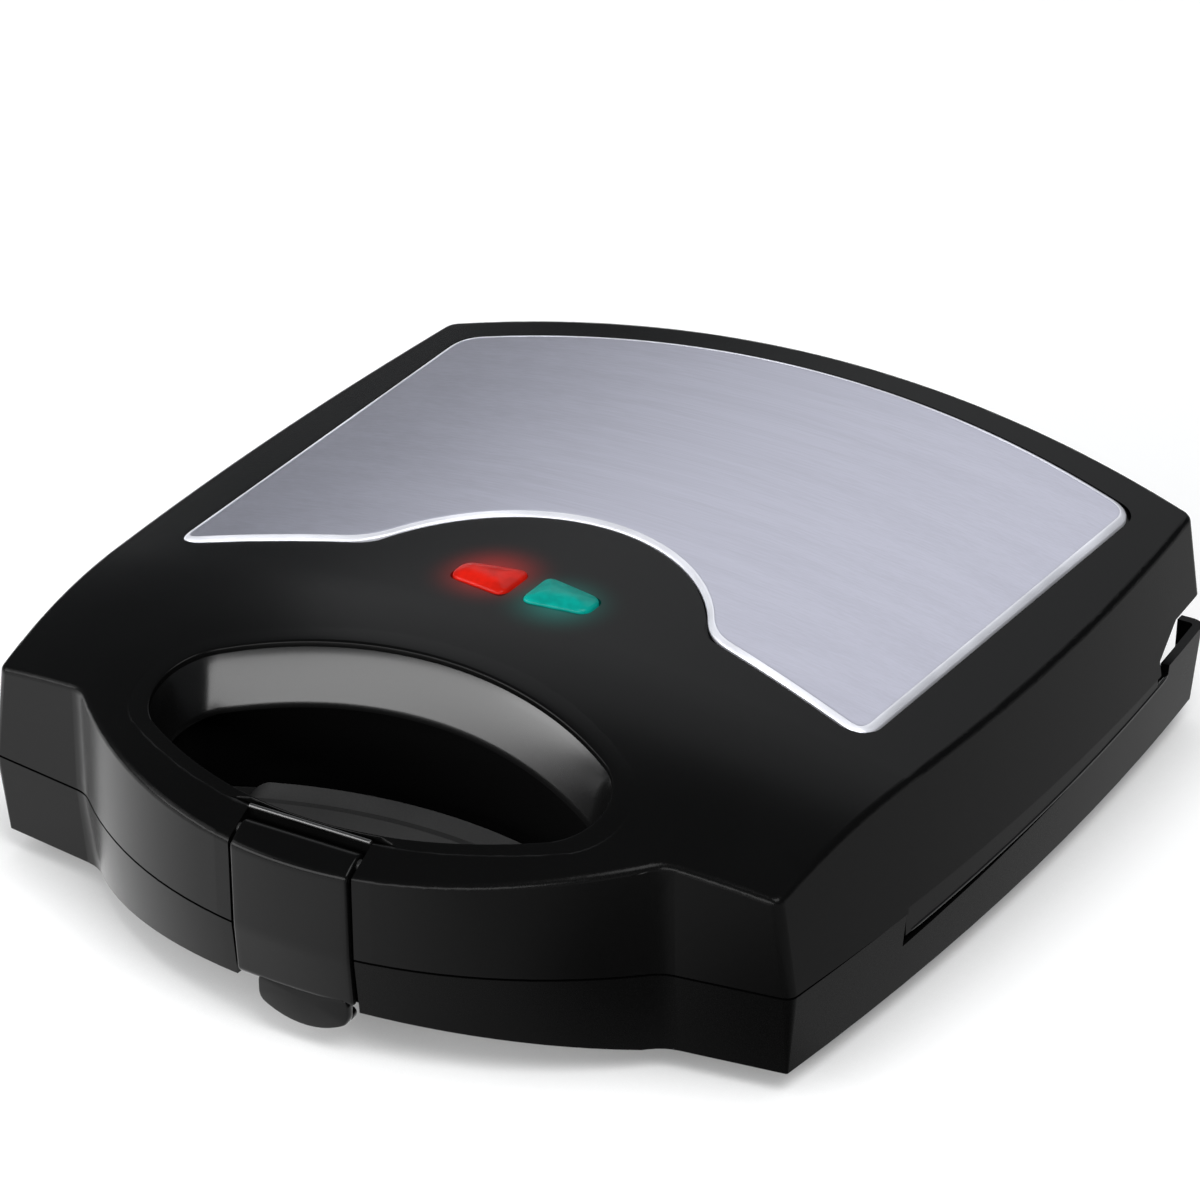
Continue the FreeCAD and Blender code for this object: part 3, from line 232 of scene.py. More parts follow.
class Field:
    """A value that varies over a surface: a socket whose operators add Math nodes."""

    def __init__(self, tree, socket=None):
        self.tree = tree
        self.socket = socket

    def node(self, kind, settings=None, out=0, **inputs):
        """Adds a node: its settings first, then the values or links of its sockets, by name or as i0, i1."""
        made = self.tree.nodes.new(kind)
        for name, value in (settings or {}).items():
            setattr(made, name, value)
        for name, value in inputs.items():
            by_index = name[0] == "i" and name[1:].isdigit()
            socket = made.inputs[int(name[1:])] if by_index else made.inputs[name.replace("_", " ")]
            if isinstance(value, Field):
                self.tree.links.new(value.socket, socket)
            else:
                socket.default_value = value
        return Field(self.tree, made.outputs[out])

    def math(self, operation, *values):
        settings = {"operation": operation}
        return self.node("ShaderNodeMath", settings, **{f"i{i}": v for i, v in enumerate(values)})

    def __add__(self, other):
        return self.math("ADD", self, other)

    def __sub__(self, other):
        return self.math("SUBTRACT", self, other)

    def __rsub__(self, other):
        return self.math("SUBTRACT", other, self)

    def __mul__(self, other):
        return self.math("MULTIPLY", self, other)

    def __truediv__(self, other):
        return self.math("DIVIDE", self, other)

    def __rtruediv__(self, other):
        return self.math("DIVIDE", other, self)

    __radd__ = __add__
    __rmul__ = __mul__

    def step(self, low, high):
        """Rises smoothly from 0 at low to 1 at high."""
        settings = {"interpolation_type": "SMOOTHSTEP"}
        return self.node("ShaderNodeMapRange", settings, i0=self, i1=low, i2=high)

    def between(self, dark, light):
        """Colour that goes from dark to light as this value goes from 0 to 1."""
        return self.node("ShaderNodeMix", {"data_type": "RGBA"}, out=2, i0=self, i6=dark, i7=light)


def rgba(red, green, blue):
    return (red, green, blue, 1.0)


def material(name, **constants):
    """New material with a Principled shader; returns it, its shader and a Field to write nodes with."""
    made = bpy.data.materials.new(name)
    made.use_nodes = True
    shader = made.node_tree.nodes["Principled BSDF"]
    for socket, value in constants.items():
        shader.inputs[socket.replace("_", " ")].default_value = value
    return made, shader, Field(made.node_tree)


def feed(shader, **fields):
    """Links fields to a shader's sockets."""
    tree = shader.id_data
    for socket, field in fields.items():
        tree.links.new(field.socket, shader.inputs[socket.replace("_", " ")])


def place_of(field, scale):
    """Object coordinates, stretched by a scale per axis, in metres."""
    where = field.node("ShaderNodeTexCoord", out=3)
    return field.node("ShaderNodeMapping", i0=where, i3=scale)


def noise(field, scale, size, detail=3.0, rough=0.5):
    """Noise on Object coordinates, about 0 to 1."""
    return field.node("ShaderNodeTexNoise", i0=place_of(field, scale), Scale=size, Detail=detail,
                      Roughness=rough)


def bump(field, height, strength, distance):
    return field.node("ShaderNodeBump", Height=height, Strength=strength, Distance=distance)


EVEN = (1.0, 1.0, 1.0)
BLACK = rgba(0.0, 0.0, 0.0)
WHITE = rgba(1.0, 1.0, 1.0)
TONE_SPREAD = 0.2
MARKED = (0.3, 0.7)

# Moulded plastic: noise sizes per metre, shares of tone, changes of roughness, and height in metres
CLOUD_SIZE = 14.0
CLOUD_SHARE = 0.7
CLOUD_ROUGH = 0.08
GRAIN_SIZE = 2600.0
GRAIN_ROUGH = 0.06
GRAIN_HEIGHT = 0.00006

# Brushed metal, in the same measures
STREAK_SIZE = 1500.0
STREAK_FINE = 0.65
STREAK_SHARE = 0.7
STREAK_ROUGH = 0.16
STREAK_BUMP = 0.1
STREAK_HEIGHT = 0.00004
BROAD_SIZE = 160.0

# Other finishes, in the same measures
SPECK_SIZE = 700.0
SPECK_ROUGH = 0.15
SPECK_HEIGHT = 0.0001

# Lit lenses
LENS_ROUGH = 0.3
LENS_GLOSS = 0.12
LENS_GLOW = 0.4
LENS_SHADE = 0.75
SWIRL_SIZE = 260.0
SWIRL_GLOW = (0.2, 0.8)


def frame_place(x, y, z):
    """Millimetres on the housing's axes to metres in the frame."""
    return (np.array((x, y, z)) + SHIFT) * MM


def tones(grey, spread=TONE_SPREAD, tint=EVEN):
    """A darker and a lighter tone of one colour."""
    return [rgba(*(grey * share * part for part in tint)) for share in (1 - spread, 1 + spread)]


def near_lamp(f, centre, reach):
    """1 at a lamp's middle, which falls smoothly to 0 at a distance."""
    where = f.node("ShaderNodeTexCoord", out=3)
    away = f.node("ShaderNodeVectorMath", {"operation": "DISTANCE"}, out=1, i0=where, i1=tuple(centre))
    return away.step(reach, 0.0)


def moulded_plastic(name, grey, rough, grain, gloss, lamp_glows=()):
    """Black moulded plastic: a spark-eroded grain, faint cloudy sheen and a painted glow of nearby lamps."""
    made, shader, f = material(name, Emission_Strength=1.0 if lamp_glows else 0.0, Specular_IOR_Level=gloss)
    cloud = noise(f, EVEN, CLOUD_SIZE, detail=4.0)
    fine = noise(f, EVEN, GRAIN_SIZE, detail=2.0)
    mark = cloud * CLOUD_SHARE + fine * (1 - CLOUD_SHARE)
    feed(shader, Base_Color=mark.step(*MARKED).between(*tones(grey)),
         Roughness=rough + (cloud - 0.5) * CLOUD_ROUGH + (fine - 0.5) * GRAIN_ROUGH,
         Normal=bump(f, fine, grain, GRAIN_HEIGHT))
    # Painted lamp glow: emission colour that fades with distance from each lamp
    painted_glow = BLACK
    for centre, reach, colour in lamp_glows:
        fall = near_lamp(f, centre, reach)
        painted_glow = (fall * fall).between(painted_glow, colour)
    if lamp_glows:
        feed(shader, Emission_Color=painted_glow)
    return made


def brushed_metal(name, grey, rough, along, tint=EVEN, contrast=TONE_SPREAD):
    """Brushed metal: fine streaks along one axis in tone, roughness and height."""
    made, shader, f = material(name, Metallic=1.0)
    streak = noise(f, along, STREAK_SIZE, detail=4.0, rough=STREAK_FINE)
    broad = noise(f, along, BROAD_SIZE, detail=2.0)
    mark = streak * STREAK_SHARE + broad * (1 - STREAK_SHARE)
    feed(shader, Base_Color=mark.step(*MARKED).between(*tones(grey, contrast, tint)),
         Roughness=rough + (streak - 0.5) * STREAK_ROUGH,
         Normal=bump(f, mark, STREAK_BUMP, STREAK_HEIGHT))
    return made


def plain_finish(name, grey, rough, metallic, grain, tint=EVEN, size=SPECK_SIZE):
    """Simple finish with a little change of tone and grain."""
    made, shader, f = material(name, Metallic=metallic)
    fine = noise(f, EVEN, size)
    feed(shader, Base_Color=fine.step(*MARKED).between(*tones(grey, tint=tint)),
         Roughness=rough + (fine - 0.5) * SPECK_ROUGH,
         Normal=bump(f, fine, grain, SPECK_HEIGHT))
    return made


def lit_lens(name, colour):
    """Coloured clear plastic with light behind it, in faint swirls."""
    made, shader, f = material(name, Roughness=LENS_ROUGH, Specular_IOR_Level=LENS_GLOSS,
                               Emission_Strength=LENS_GLOW)
    swirl = noise(f, EVEN, SWIRL_SIZE, detail=2.0)
    dark = rgba(*(LENS_SHADE * part for part in colour))
    feed(shader, Base_Color=swirl.step(*MARKED).between(dark, rgba(*colour)),
         Emission_Color=swirl.step(*SWIRL_GLOW).between(dark, rgba(*colour)))
    return made


RED = (0.42, 0.0075, 0.0028)
TEAL = (0.0007, 0.206, 0.171)
WARM = (1.0, 0.93, 0.84)
COOL = (0.93, 0.93, 1.07)
BEVEL_TINT = (0.97, 0.98, 1.05)
BEVEL_SPECK_SIZE = 25.0
RUST_BROWN = (1.1, 0.42, 0.2)
AMBER = (1.1, 0.8, 0.55)

# Painted glow of each lamp on the lid's plastic, as emission: its middle, its reach in metres and its colour
LENS_MIDDLE = LENS_GAP_HALF + LENS_WIDTH / 2
RED_GLOW_DEPTH = LENS_DEPTH + 2.0
TEAL_GLOW_DEPTH = LENS_DEPTH - 2.5
PAINTED_LAMP_GLOW = [
    (frame_place(-LENS_MIDDLE, RED_GLOW_DEPTH, TOP), 0.021, rgba(0.3, 0.01, 0.008)),
    (frame_place(LENS_MIDDLE, TEAL_GLOW_DEPTH, TOP), 0.02, rgba(0.001, 0.12, 0.1)),
]

# Grey, roughness, grain and gloss
PLASTICS = {
    "housing_black": (0.002, 0.24, 0.12, 0.1),
    "latch_black": (0.002, 0.2, 0.1, 0.1),
    "deck_black": (0.022, 0.42, 0.4, 0.25),
    "catch_black": (0.014, 0.4, 0.4, 0.3),
}

# Grey, roughness, stretch of the streaks per axis, then tint and contrast where they differ
METALS = {
    "panel_brushed": (0.64, 0.38, (0.012, 1.0, 1.0), COOL, 0.07),
    "pan_steel": (0.6, 0.3, (0.05, 1.0, 1.0)),
    "element_steel": (0.15, 0.45, (0.2, 1.0, 1.0), WARM),
    "spring_steel": (0.5, 0.3, (1.0, 0.1, 1.0)),
    "pin_steel": (0.54, 0.28, (0.1, 1.0, 1.0)),
    "screw_steel": (0.45, 0.35, (1.0, 1.0, 0.2)),
}

# Grey, roughness, metal share and grain, then tint where it differs
COATINGS = {
    "plate_coating": (0.022, 0.4, 0.0, 0.35),
    "gland_rubber": (0.016, 0.6, 0.0, 0.4),
    "foot_rubber": (0.02, 0.7, 0.0, 0.5),
    "terminal_white": (0.67, 0.5, 0.0, 0.2, WARM),
    "fuse_case": (0.56, 0.35, 0.4, 0.1, WARM),
    "lead_sleeve": (0.65, 0.8, 0.0, 0.8, WARM),
    "holder_plastic": (0.14, 0.5, 0.0, 0.2),
    "thermostat_body": (0.15, 0.4, 0.0, 0.2, RUST_BROWN),
    "lamp_glass": (0.7, 0.1, 0.0, 0.05, AMBER),
}

finishes = {"lens_red": lit_lens("lens_red", RED), "lens_green": lit_lens("lens_green", TEAL)}
for make, table in ((moulded_plastic, PLASTICS), (brushed_metal, METALS), (plain_finish, COATINGS)):
    for slot, values in table.items():
        finishes[slot] = make(slot, *values)

# Finishes of single pieces
# The lid's plastic carries the painted glow of its two lamps
lid_finish = moulded_plastic("lid_black", 0.002, 0.24, 0.12, 0.08, PAINTED_LAMP_GLOW)
base_finish = moulded_plastic("base_black", 0.002, 0.26, 0.12, 0.055)
shelf_finish = moulded_plastic("shelf_black", 0.05, 0.45, 0.3, 0.2)
skirt_finish = moulded_plastic("skirt_gloss", 0.003, 0.2, 0.08, 0.34)
bead_finish = moulded_plastic("bead_gloss", 0.01, 0.32, 0.05, 1.0)
# Cut bevel round the panel: a real edge, with a painted highlight in its pale, partly diffuse colour
bevel_highlight_finish = plain_finish("panel_bevel", 0.82, 0.35, 0.35, 0.005, BEVEL_TINT, BEVEL_SPECK_SIZE)
pin_finish = plain_finish("pin_blackened", 0.01, 0.5, 0.0, 0.2)
own_finishes = {"lid_housing": lid_finish, "base_housing": base_finish, "latch_pin": pin_finish}
for entry in frame["record"]["subparts"]:
    node = frame["nodes"][entry["node"]]
    node.data.materials.clear()
    node.data.materials.append(own_finishes.get(entry["node"], finishes[entry["material_slot"]]))


def closed_even(points, count):
    """Closed run of points, spaced evenly along its length: length is summed and places are read off it."""
    loop = np.vstack((points, points[:1]))
    run = np.concatenate(([0.0], np.cumsum(np.linalg.norm(np.diff(loop, axis=0), axis=1))))
    at = np.linspace(0.0, run[-1], count, endpoint=False)
    return np.stack([np.interp(at, run, loop[:, axis]) for axis in range(2)], axis=1), run[-1] / count


def rounded(points, count, rounding):
    """Closed outline whose corners are rounded: each point is the mean of its stretch of the outline."""
    loop, pitch = closed_even(points, count)
    reach = max(1, int(round(rounding / pitch / 2)))
    padded = np.concatenate((loop[-reach:], loop, loop[:reach]))
    total = np.concatenate((np.zeros((1, 2)), np.cumsum(padded, axis=0)))
    width = 2 * reach + 1
    return (total[width:] - total[:-width]) / width


def outward(loop):
    """Unit normals of an anticlockwise outline: its direction turned to the right."""
    along = np.roll(loop, -1, axis=0) - np.roll(loop, 1, axis=0)
    along /= np.linalg.norm(along, axis=1, keepdims=True)
    return np.stack((along[:, 1], -along[:, 0]), axis=1)


def arc(centre, radius, start, end, count):
    """Points on a circle between two angles in degrees."""
    turn = np.radians(np.linspace(start, end, count))
    return np.stack((centre[0] + radius * np.cos(turn), centre[1] + radius * np.sin(turn)), axis=1)


def crown(x, y, lift=0.0):
    """Height of the lid's top: a wide arch across the width, which falls to the front on a second circle."""
    fall = np.clip(BROW_START - y, 0.0, None)
    ridge = TOP - BROW_RADIUS + np.sqrt((BROW_RADIUS + lift) ** 2 - fall ** 2)
    axis = TOP - CROWN_RADIUS
    return axis + np.sqrt((ridge - axis) ** 2 - x ** 2)


def on_lid(plan, lift):
    """Points in plan, set on the lid's top and raised by a lift."""
    tall = crown(plan[..., 0], plan[..., 1]) + lift
    return np.concatenate((plan, tall[..., None]), axis=2)


def piece(name, body, slot, grid, around=(True, False), sharp=SHARP_EDGE, finish=None, replaced=()):
    """Object from a grid of points: quads between neighbours, closed around either way, doubles merged."""
    rows, columns = grid.shape[:2]
    index = np.arange(rows * columns).reshape(rows, columns)
    if around[0]:
        index = np.vstack((index, index[:1]))
    if around[1]:
        index = np.hstack((index, index[:, :1]))
    corners = (index[:-1, :-1], index[1:, :-1], index[1:, 1:], index[:-1, 1:])
    quads = np.stack(corners, axis=-1).reshape(-1, 4)
    mesh = bpy.data.meshes.new(name)
    mesh.from_pydata(((grid.reshape(-1, 3) + SHIFT) * MM).tolist(), [], quads.tolist())
    shape = bmesh.new()
    shape.from_mesh(mesh)
    bmesh.ops.remove_doubles(shape, verts=shape.verts, dist=MERGE_REACH)
    bmesh.ops.dissolve_degenerate(shape, edges=shape.edges, dist=SLIVER_REACH)
    bmesh.ops.recalc_face_normals(shape, faces=shape.faces)
    shape.to_mesh(mesh)
    shape.free()
    mesh.polygons.foreach_set("use_smooth", np.ones(len(mesh.polygons), dtype=bool))
    mesh.set_sharp_from_angle(angle=math.radians(sharp))
    made = bpy.data.objects.new(name, mesh)
    bpy.context.collection.objects.link(made)
    mesh.materials.append(finish or finishes[slot])
    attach(made, body)
    if replaced:
        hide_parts(*replaced)
    return made


def pillow(loop, edge, swell, spine, spine_share, rings):
    """Closed sheet on the lid's top: rings follow the outline inwards, first along the edge's profile of
    inset and height, then in even steps to a spine, and the underside goes back the same way."""
    inset, height = np.array(edge).T
    flat = loop[None] - inset[:, None, None] * outward(loop)[None]
    inner = flat[-1]
    middle_x = inner[:, 0] * spine_share + spine[0] * (1 - spine_share)
    middle = np.stack((middle_x, np.full(len(inner), spine[1])), axis=1)
    share = np.linspace(0.0, 1.0, rings + 1)[1:, None, None]
    field = inner[None] + share * (middle - inner)[None]
    bulge = height[-1] + swell * (1 - (1 - share[:, 0, 0]) ** 2)
    back = np.linspace(1.0, 0.0, UNDER_STEPS)[:-1, None, None]
    under = flat[0] + back * (middle - flat[0])[None]
    lift = np.concatenate((np.full(len(under), height[0]), height, bulge))
    return on_lid(np.concatenate((under, flat, field)), lift[:, None]).transpose(1, 0, 2)


def panel_outline():
    """Two slanted front edges with an arch between them, straight sides and a bowed rear edge."""
    slope = (PANEL_RIDGE - PANEL_FRONT) / PANEL_FRONT_HALF
    centre = PANEL_ARCH - PANEL_ARCH_RADIUS
    rise = PANEL_RIDGE - centre
    square = 1 + slope ** 2
    inside = (slope * rise) ** 2 - square * (rise ** 2 - PANEL_ARCH_RADIUS ** 2)
    meet = (slope * rise + math.sqrt(inside)) / square
    turn = math.degrees(math.acos(meet / PANEL_ARCH_RADIUS))
    bow_radius = (PANEL_REAR_HALF ** 2 + PANEL_REAR_BOW ** 2) / (2 * PANEL_REAR_BOW)
    spread = math.degrees(math.asin(PANEL_REAR_HALF / bow_radius))
    bow_centre = (0.0, PANEL_REAR + PANEL_REAR_BOW - bow_radius)
    bow = arc(bow_centre, bow_radius, 90 - spread, 90 + spread, ARC_POINTS)
    front = arc((0.0, centre), PANEL_ARCH_RADIUS, 180 - turn, turn, ARC_POINTS)
    return np.vstack(([(-PANEL_FRONT_HALF, PANEL_FRONT)], front, [(PANEL_FRONT_HALF, PANEL_FRONT)], bow))


def top_sheet():
    """Brushed sheet in the lid, its outline drawn in by a gap, and the bevel cut round its edge, whose pale
    finish paints its highlight into its colour.
    """
    loop = rounded(panel_outline(), PANEL_POINTS, PANEL_ROUNDING)
    loop = loop - PANEL_GAP * outward(loop)
    grid = pillow(loop, PANEL_EDGE, 0.0, (0.0, PANEL_SPINE), PANEL_SPINE_SHARE, PANEL_RINGS)
    piece("top_sheet", "lid", "panel_brushed", grid, replaced=["top_panel"])
    inset, lift = np.array(BEVEL_EDGE).T
    plan = loop[:, None] - inset[None, :, None] * outward(loop)[:, None]
    piece("panel_bevel", "lid", "panel_brushed", on_lid(plan, lift[None]), around=(True, True),
          finish=bevel_highlight_finish)


def lamp_lens(name, slot, node, side):
    """Domed lens: a rounded trapezoid that is deeper towards the middle of the lid."""
    near, far = LENS_GAP_HALF, LENS_GAP_HALF + LENS_WIDTH
    corners = np.array([(near, -LENS_INNER_HALF), (far, -LENS_OUTER_HALF), (far, LENS_OUTER_HALF),
                        (near, LENS_INNER_HALF)])
    if side < 0:
        corners = corners[::-1] * (-1.0, 1.0)
    loop = rounded(corners + (0.0, LENS_DEPTH), LENS_POINTS, LENS_ROUNDING)
    loop = loop - LENS_GAP * outward(loop)
    spine = (side * (near + far) / 2, LENS_DEPTH)
    grid = pillow(loop, LENS_EDGE, LENS_CROWN, spine, LENS_SPINE_SHARE, LENS_RINGS)
    piece(name, "lid", slot, grid, replaced=[node])


def opening_outline(half, end):
    """Oval of the finger opening: two wide arcs that run into round ends."""
    across = half - end
    radius = (across ** 2 + OPENING_REACH ** 2 - end ** 2) / (2 * (OPENING_REACH - end))
    lean = math.degrees(math.atan2(across, radius - OPENING_REACH))
    drop = radius - OPENING_REACH
    runs = [arc((across, 0.0), end, lean - 90, 90 - lean, ARC_POINTS),
            arc((0.0, -drop), radius, 90 - lean, 90 + lean, OPENING_SWEEP_POINTS),
            arc((-across, 0.0), end, 90 + lean, 270 - lean, ARC_POINTS),
            arc((0.0, drop), radius, 270 - lean, 270 + lean, OPENING_SWEEP_POINTS)]
    return np.vstack(runs) + (0.0, OPENING_CENTRE)


def opening_rim():
    """Rolled rim of the finger opening: a band on the lid's top, from outside its edge to a smaller oval."""
    inner = opening_outline(RIM_HALF, RIM_END)
    edge = opening_outline(OPENING_HALF, OPENING_END)
    aside = np.clip((np.abs(edge[:, 0]) - RIM_CLEAR[0]) / (RIM_CLEAR[1] - RIM_CLEAR[0]), 0.0, 1.0)
    rear = np.clip(edge[:, 1] / OPENING_REACH, 0.0, 1.0)
    lap = np.maximum(aside, rear > 0) * RIM_LAP + RIM_REAR_LAP * rear
    outer = edge + (RIM_THIN + lap)[:, None] * outward(edge)
    share, lift = np.array(RIM_EDGE).T
    plan = outer[:, None] + share[None, :, None] * (inner - outer)[:, None]
    piece("opening_rim", "lid", "housing_black", on_lid(plan, lift[None]), around=(True, True),
          sharp=ROLLED_EDGE, finish=lid_finish)


def opening_skirt():
    """Flared skirt round the finger opening: it leans in most at the rear, and its lower edge is free."""
    loop = closed_even(opening_outline(RIM_HALF, RIM_END), SKIRT_POINTS)[0]
    share = np.clip((loop[:, 1] - OPENING_CENTRE + OPENING_REACH) / (2 * OPENING_REACH), 0.0, 1.0)
    lean = SKIRT_FRONT + (SKIRT_REAR - SKIRT_FRONT) * np.sin(share * math.pi / 2) ** 2
    down = np.linspace(0.0, 1.0, SKIRT_STEPS)
    back_in, back_down = np.array(SKIRT_BACK_SHARES).T
    inset = np.concatenate((down ** SKIRT_FLARE, back_in))
    drop = np.concatenate((down, back_down)) * SKIRT_DROP
    plan = loop[:, None] - (lean[:, None] * inset[None])[..., None] * outward(loop)[:, None]
    edge = crown(loop[:, 0], loop[:, 1]) - SKIRT_START
    tall = edge[:, None] - drop[None]
    grid = np.concatenate((plan, tall[..., None]), axis=2)
    piece("opening_skirt", "lid", "housing_black", grid, around=(True, True), sharp=FOLD_EDGE,
          finish=skirt_finish)


def across_ends(half, rounding, count):
    """Places across a rounded bar, and how far its section is drawn in there: a quarter circle per end."""
    turn = np.radians(np.linspace(0.0, 90.0, END_STEPS))
    end = half - rounding * (1 - np.cos(turn))
    draw = rounding * (1 - np.sin(turn))
    middle = np.linspace(-1.0, 1.0, count)[1:-1] * (half - rounding)
    return np.concatenate((-end, middle, end[::-1])), np.concatenate((draw, 0 * middle, draw[::-1]))


def bar(section, places, draws, cap):
    """Solid bar along X: a closed section in Y and Z, drawn in to its ends, and closed at a cap point."""
    rings = section[None] - draws[:, None, None] * outward(section)[None]
    across = np.broadcast_to(places[:, None, None], rings.shape[:2] + (1,))
    grid = np.concatenate((across, rings), axis=2)
    ends = np.broadcast_to(np.array(cap), (2, len(section), 2))
    caps = np.concatenate((across[[0, -1]], ends), axis=2)
    return np.concatenate((caps[:1], grid, caps[1:]))


def latch_face():
    """Front clip: plate down the handle and arm to the pivot, as one section bowed like the handle."""
    front = -HANDLE_REACH - LATCH_PROUD
    lean = BASE_LEAN * (1 - LATCH_BOTTOM / PARTING)
    lower = [(front + lean, LATCH_BOTTOM), (LATCH_BACK, LATCH_BOTTOM), (LATCH_BACK, LATCH_ARM_LOW)]
    knuckle = arc(LATCH_PIVOT, LATCH_KNUCKLE, -90, 90, KNUCKLE_POINTS)
    upper = [(front, float(crown(0.0, front, LATCH_PROUD))), (front, PARTING)]
    section = rounded(np.vstack((lower, knuckle, upper)), LATCH_POINTS, LATCH_ROUNDING)
    places, draws = across_ends(LATCH_HALF, LATCH_END_ROUND, LATCH_STEPS)
    grid = bar(section, places, draws, LATCH_CAP)
    radius = HANDLE_RADIUS + LATCH_PROUD
    bow = radius - np.sqrt(radius ** 2 - grid[..., 0] ** 2)
    share = np.clip((LATCH_BACK - grid[..., 1]) / (LATCH_BACK - front), 0.0, 1.0)
    grid[..., 1] += bow * share
    piece("latch_face", "latch", "latch_black", grid, around=(False, True), replaced=["latch_clip"])


def tongue(name, top, front, back):
    """Tongue of the clip: a rounded outline in X and Z with a bowed lower edge, given a thickness."""
    radius = (TAB_HALF ** 2 + TAB_BOW ** 2) / (2 * TAB_BOW)
    spread = math.degrees(math.asin(TAB_HALF / radius))
    lower = arc((0.0, TAB_LOW - TAB_BOW + radius), radius, 270 - spread, 270 + spread, TAB_BOW_POINTS)
    loop = rounded(np.vstack((lower, [(TAB_HALF, top), (-TAB_HALF, top)])), TAB_POINTS, TAB_ROUNDING)
    inset, behind = np.array(TAB_EDGE).T
    inset = np.concatenate((inset, inset[::-1]))
    depth = np.concatenate(([front], front + behind, back - behind[::-1], [back]))
    rings = loop[:, None] - inset[None, :, None] * outward(loop)[:, None]
    centre = np.broadcast_to(np.array((0.0, (TAB_LOW + top) / 2)), (len(loop), 1, 2))
    plan = np.concatenate((centre, rings, centre), axis=1)
    deep = np.broadcast_to(depth, plan.shape[:2])
    grid = np.stack((plan[..., 0] + TAB_SIDE, deep, plan[..., 1]), axis=2)
    piece(name, "latch", "latch_black", grid)


def pocket_bead():
    """Thin rounded edge behind the clip's pocket in the lid: a small circle carried across the width."""
    centre = (POCKET_EDGE, float(crown(0.0, POCKET_EDGE)) - BEAD_SINK)
    circle = arc(centre, BEAD_RADIUS, 0, 360 - 360 / BEAD_POINTS, BEAD_POINTS)
    places, draws = across_ends(BEAD_HALF, BEAD_END_ROUND, BEAD_STEPS)
    grid = bar(circle, places, draws, circle.mean(axis=0))
    piece("pocket_bead", "lid", "housing_black", grid, around=(False, True), finish=bead_finish)


def lip_edge(name, side):
    """Rounded lower edge of a side lip: a small circle carried back along the lid's bowed side."""
    share = np.linspace(0.0, 1.0, EDGE_STEPS)
    along = EDGE_FRONT[0] + share * (EDGE_REAR[0] - EDGE_FRONT[0])
    tall = EDGE_FRONT[1] + share * (EDGE_REAR[1] - EDGE_FRONT[1]) + EDGE_RADIUS / 2
    back = along / LID_REAR_CORNER
    straight = CORNER_HALF + (LID_REAR_HALF - CORNER_HALF) * back
    across = straight + SIDE_BOW * (1 - (2 * back - 1) ** 2) - LIP_SET
    turn = np.linspace(0.0, FULL_TURN, EDGE_POINTS, endpoint=False)
    radius = EDGE_RADIUS * np.sqrt(np.clip(1 - (2 * share - 1) ** EDGE_END_POWER, 0.0, 1.0))
    wide = across[:, None] - EDGE_RADIUS / 2 + np.outer(radius, np.cos(turn))
    grid = np.stack((side * wide, np.broadcast_to(along[:, None], wide.shape),
                     tall[:, None] + np.outer(radius, np.sin(turn))), axis=2)
    piece(name, "lid", "housing_black", grid, around=(False, True), finish=skirt_finish)


def well_lip():
    """Shelf along the rear of the finger well: gently dished, then a seam groove and a rise to the rear."""
    across = np.linspace(-LIP_HALF, LIP_HALF, LIP_POINTS)
    column = np.ones((LIP_POINTS, 1))
    oval = opening_outline(OPENING_HALF, OPENING_END)
    rear_arc = oval[ARC_POINTS:ARC_POINTS + OPENING_SWEEP_POINTS][::-1]
    rear = np.interp(across, rear_arc[:, 0], rear_arc[:, 1])[:, None] - LIP_CLEAR
    seam = rear - LIP_SEAM
    front = np.minimum(LIP_FRONT, seam - LIP_LEAST_DEPTH)
    near = np.linspace(0.0, 1.0, LIP_SHELF_STEPS)[None]
    far = np.linspace(0.0, 1.0, LIP_BANK_STEPS)[None]
    shelf = front + near * (seam - LIP_GROOVE - front)
    bank = seam + LIP_GROOVE + far * (LIP_SEAM - LIP_GROOVE)
    depth = np.concatenate((shelf, seam, bank, rear, front), axis=1)
    shelf_tall = LIP_LOW - LIP_DISH * (seam - shelf) ** 2
    bank_tall = (LIP_LOW + LIP_RISE * far ** LIP_RISE_POWER) * column
    under_front = shelf_tall[:, :1] - LIP_THICK
    groove = (LIP_LOW - LIP_GROOVE_DEPTH) * column
    sink = LIP_SINK * np.clip((np.abs(across) - LIP_HALF + LIP_END) / LIP_END, 0.0, 1.0) ** 2
    tall = np.concatenate((shelf_tall, groove, bank_tall, LIP_ROOT * column, under_front), axis=1)
    grid = np.stack((np.broadcast_to(across[:, None], depth.shape), depth, tall - sink[:, None]), axis=2)
    ends = grid[[0, -1]].mean(axis=1, keepdims=True) * np.ones((1, grid.shape[1], 1))
    grid = np.concatenate((ends[:1], grid, ends[1:]))
    piece("well_lip", "base", "deck_black", grid, around=(False, True), sharp=FOLD_EDGE,
          finish=shelf_finish)


def foot_pad(node):
    """Rubber foot: a grooved profile turned round the foot's axis."""
    low, high = (np.array(corner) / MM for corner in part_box(node))
    middle = (low + high)[:2] / 2 - SHIFT[:2]
    turn = np.linspace(0.0, FULL_TURN, FOOT_POINTS, endpoint=False)
    radius, height = np.array(FOOT_PROFILE).T
    grid = np.stack((middle[0] + np.outer(np.cos(turn), radius),
                     middle[1] + np.outer(np.sin(turn), radius),
                     np.broadcast_to(height, (len(turn), len(height)))), axis=2)
    piece(node + "_pad", "base", "foot_rubber", grid, replaced=[node])


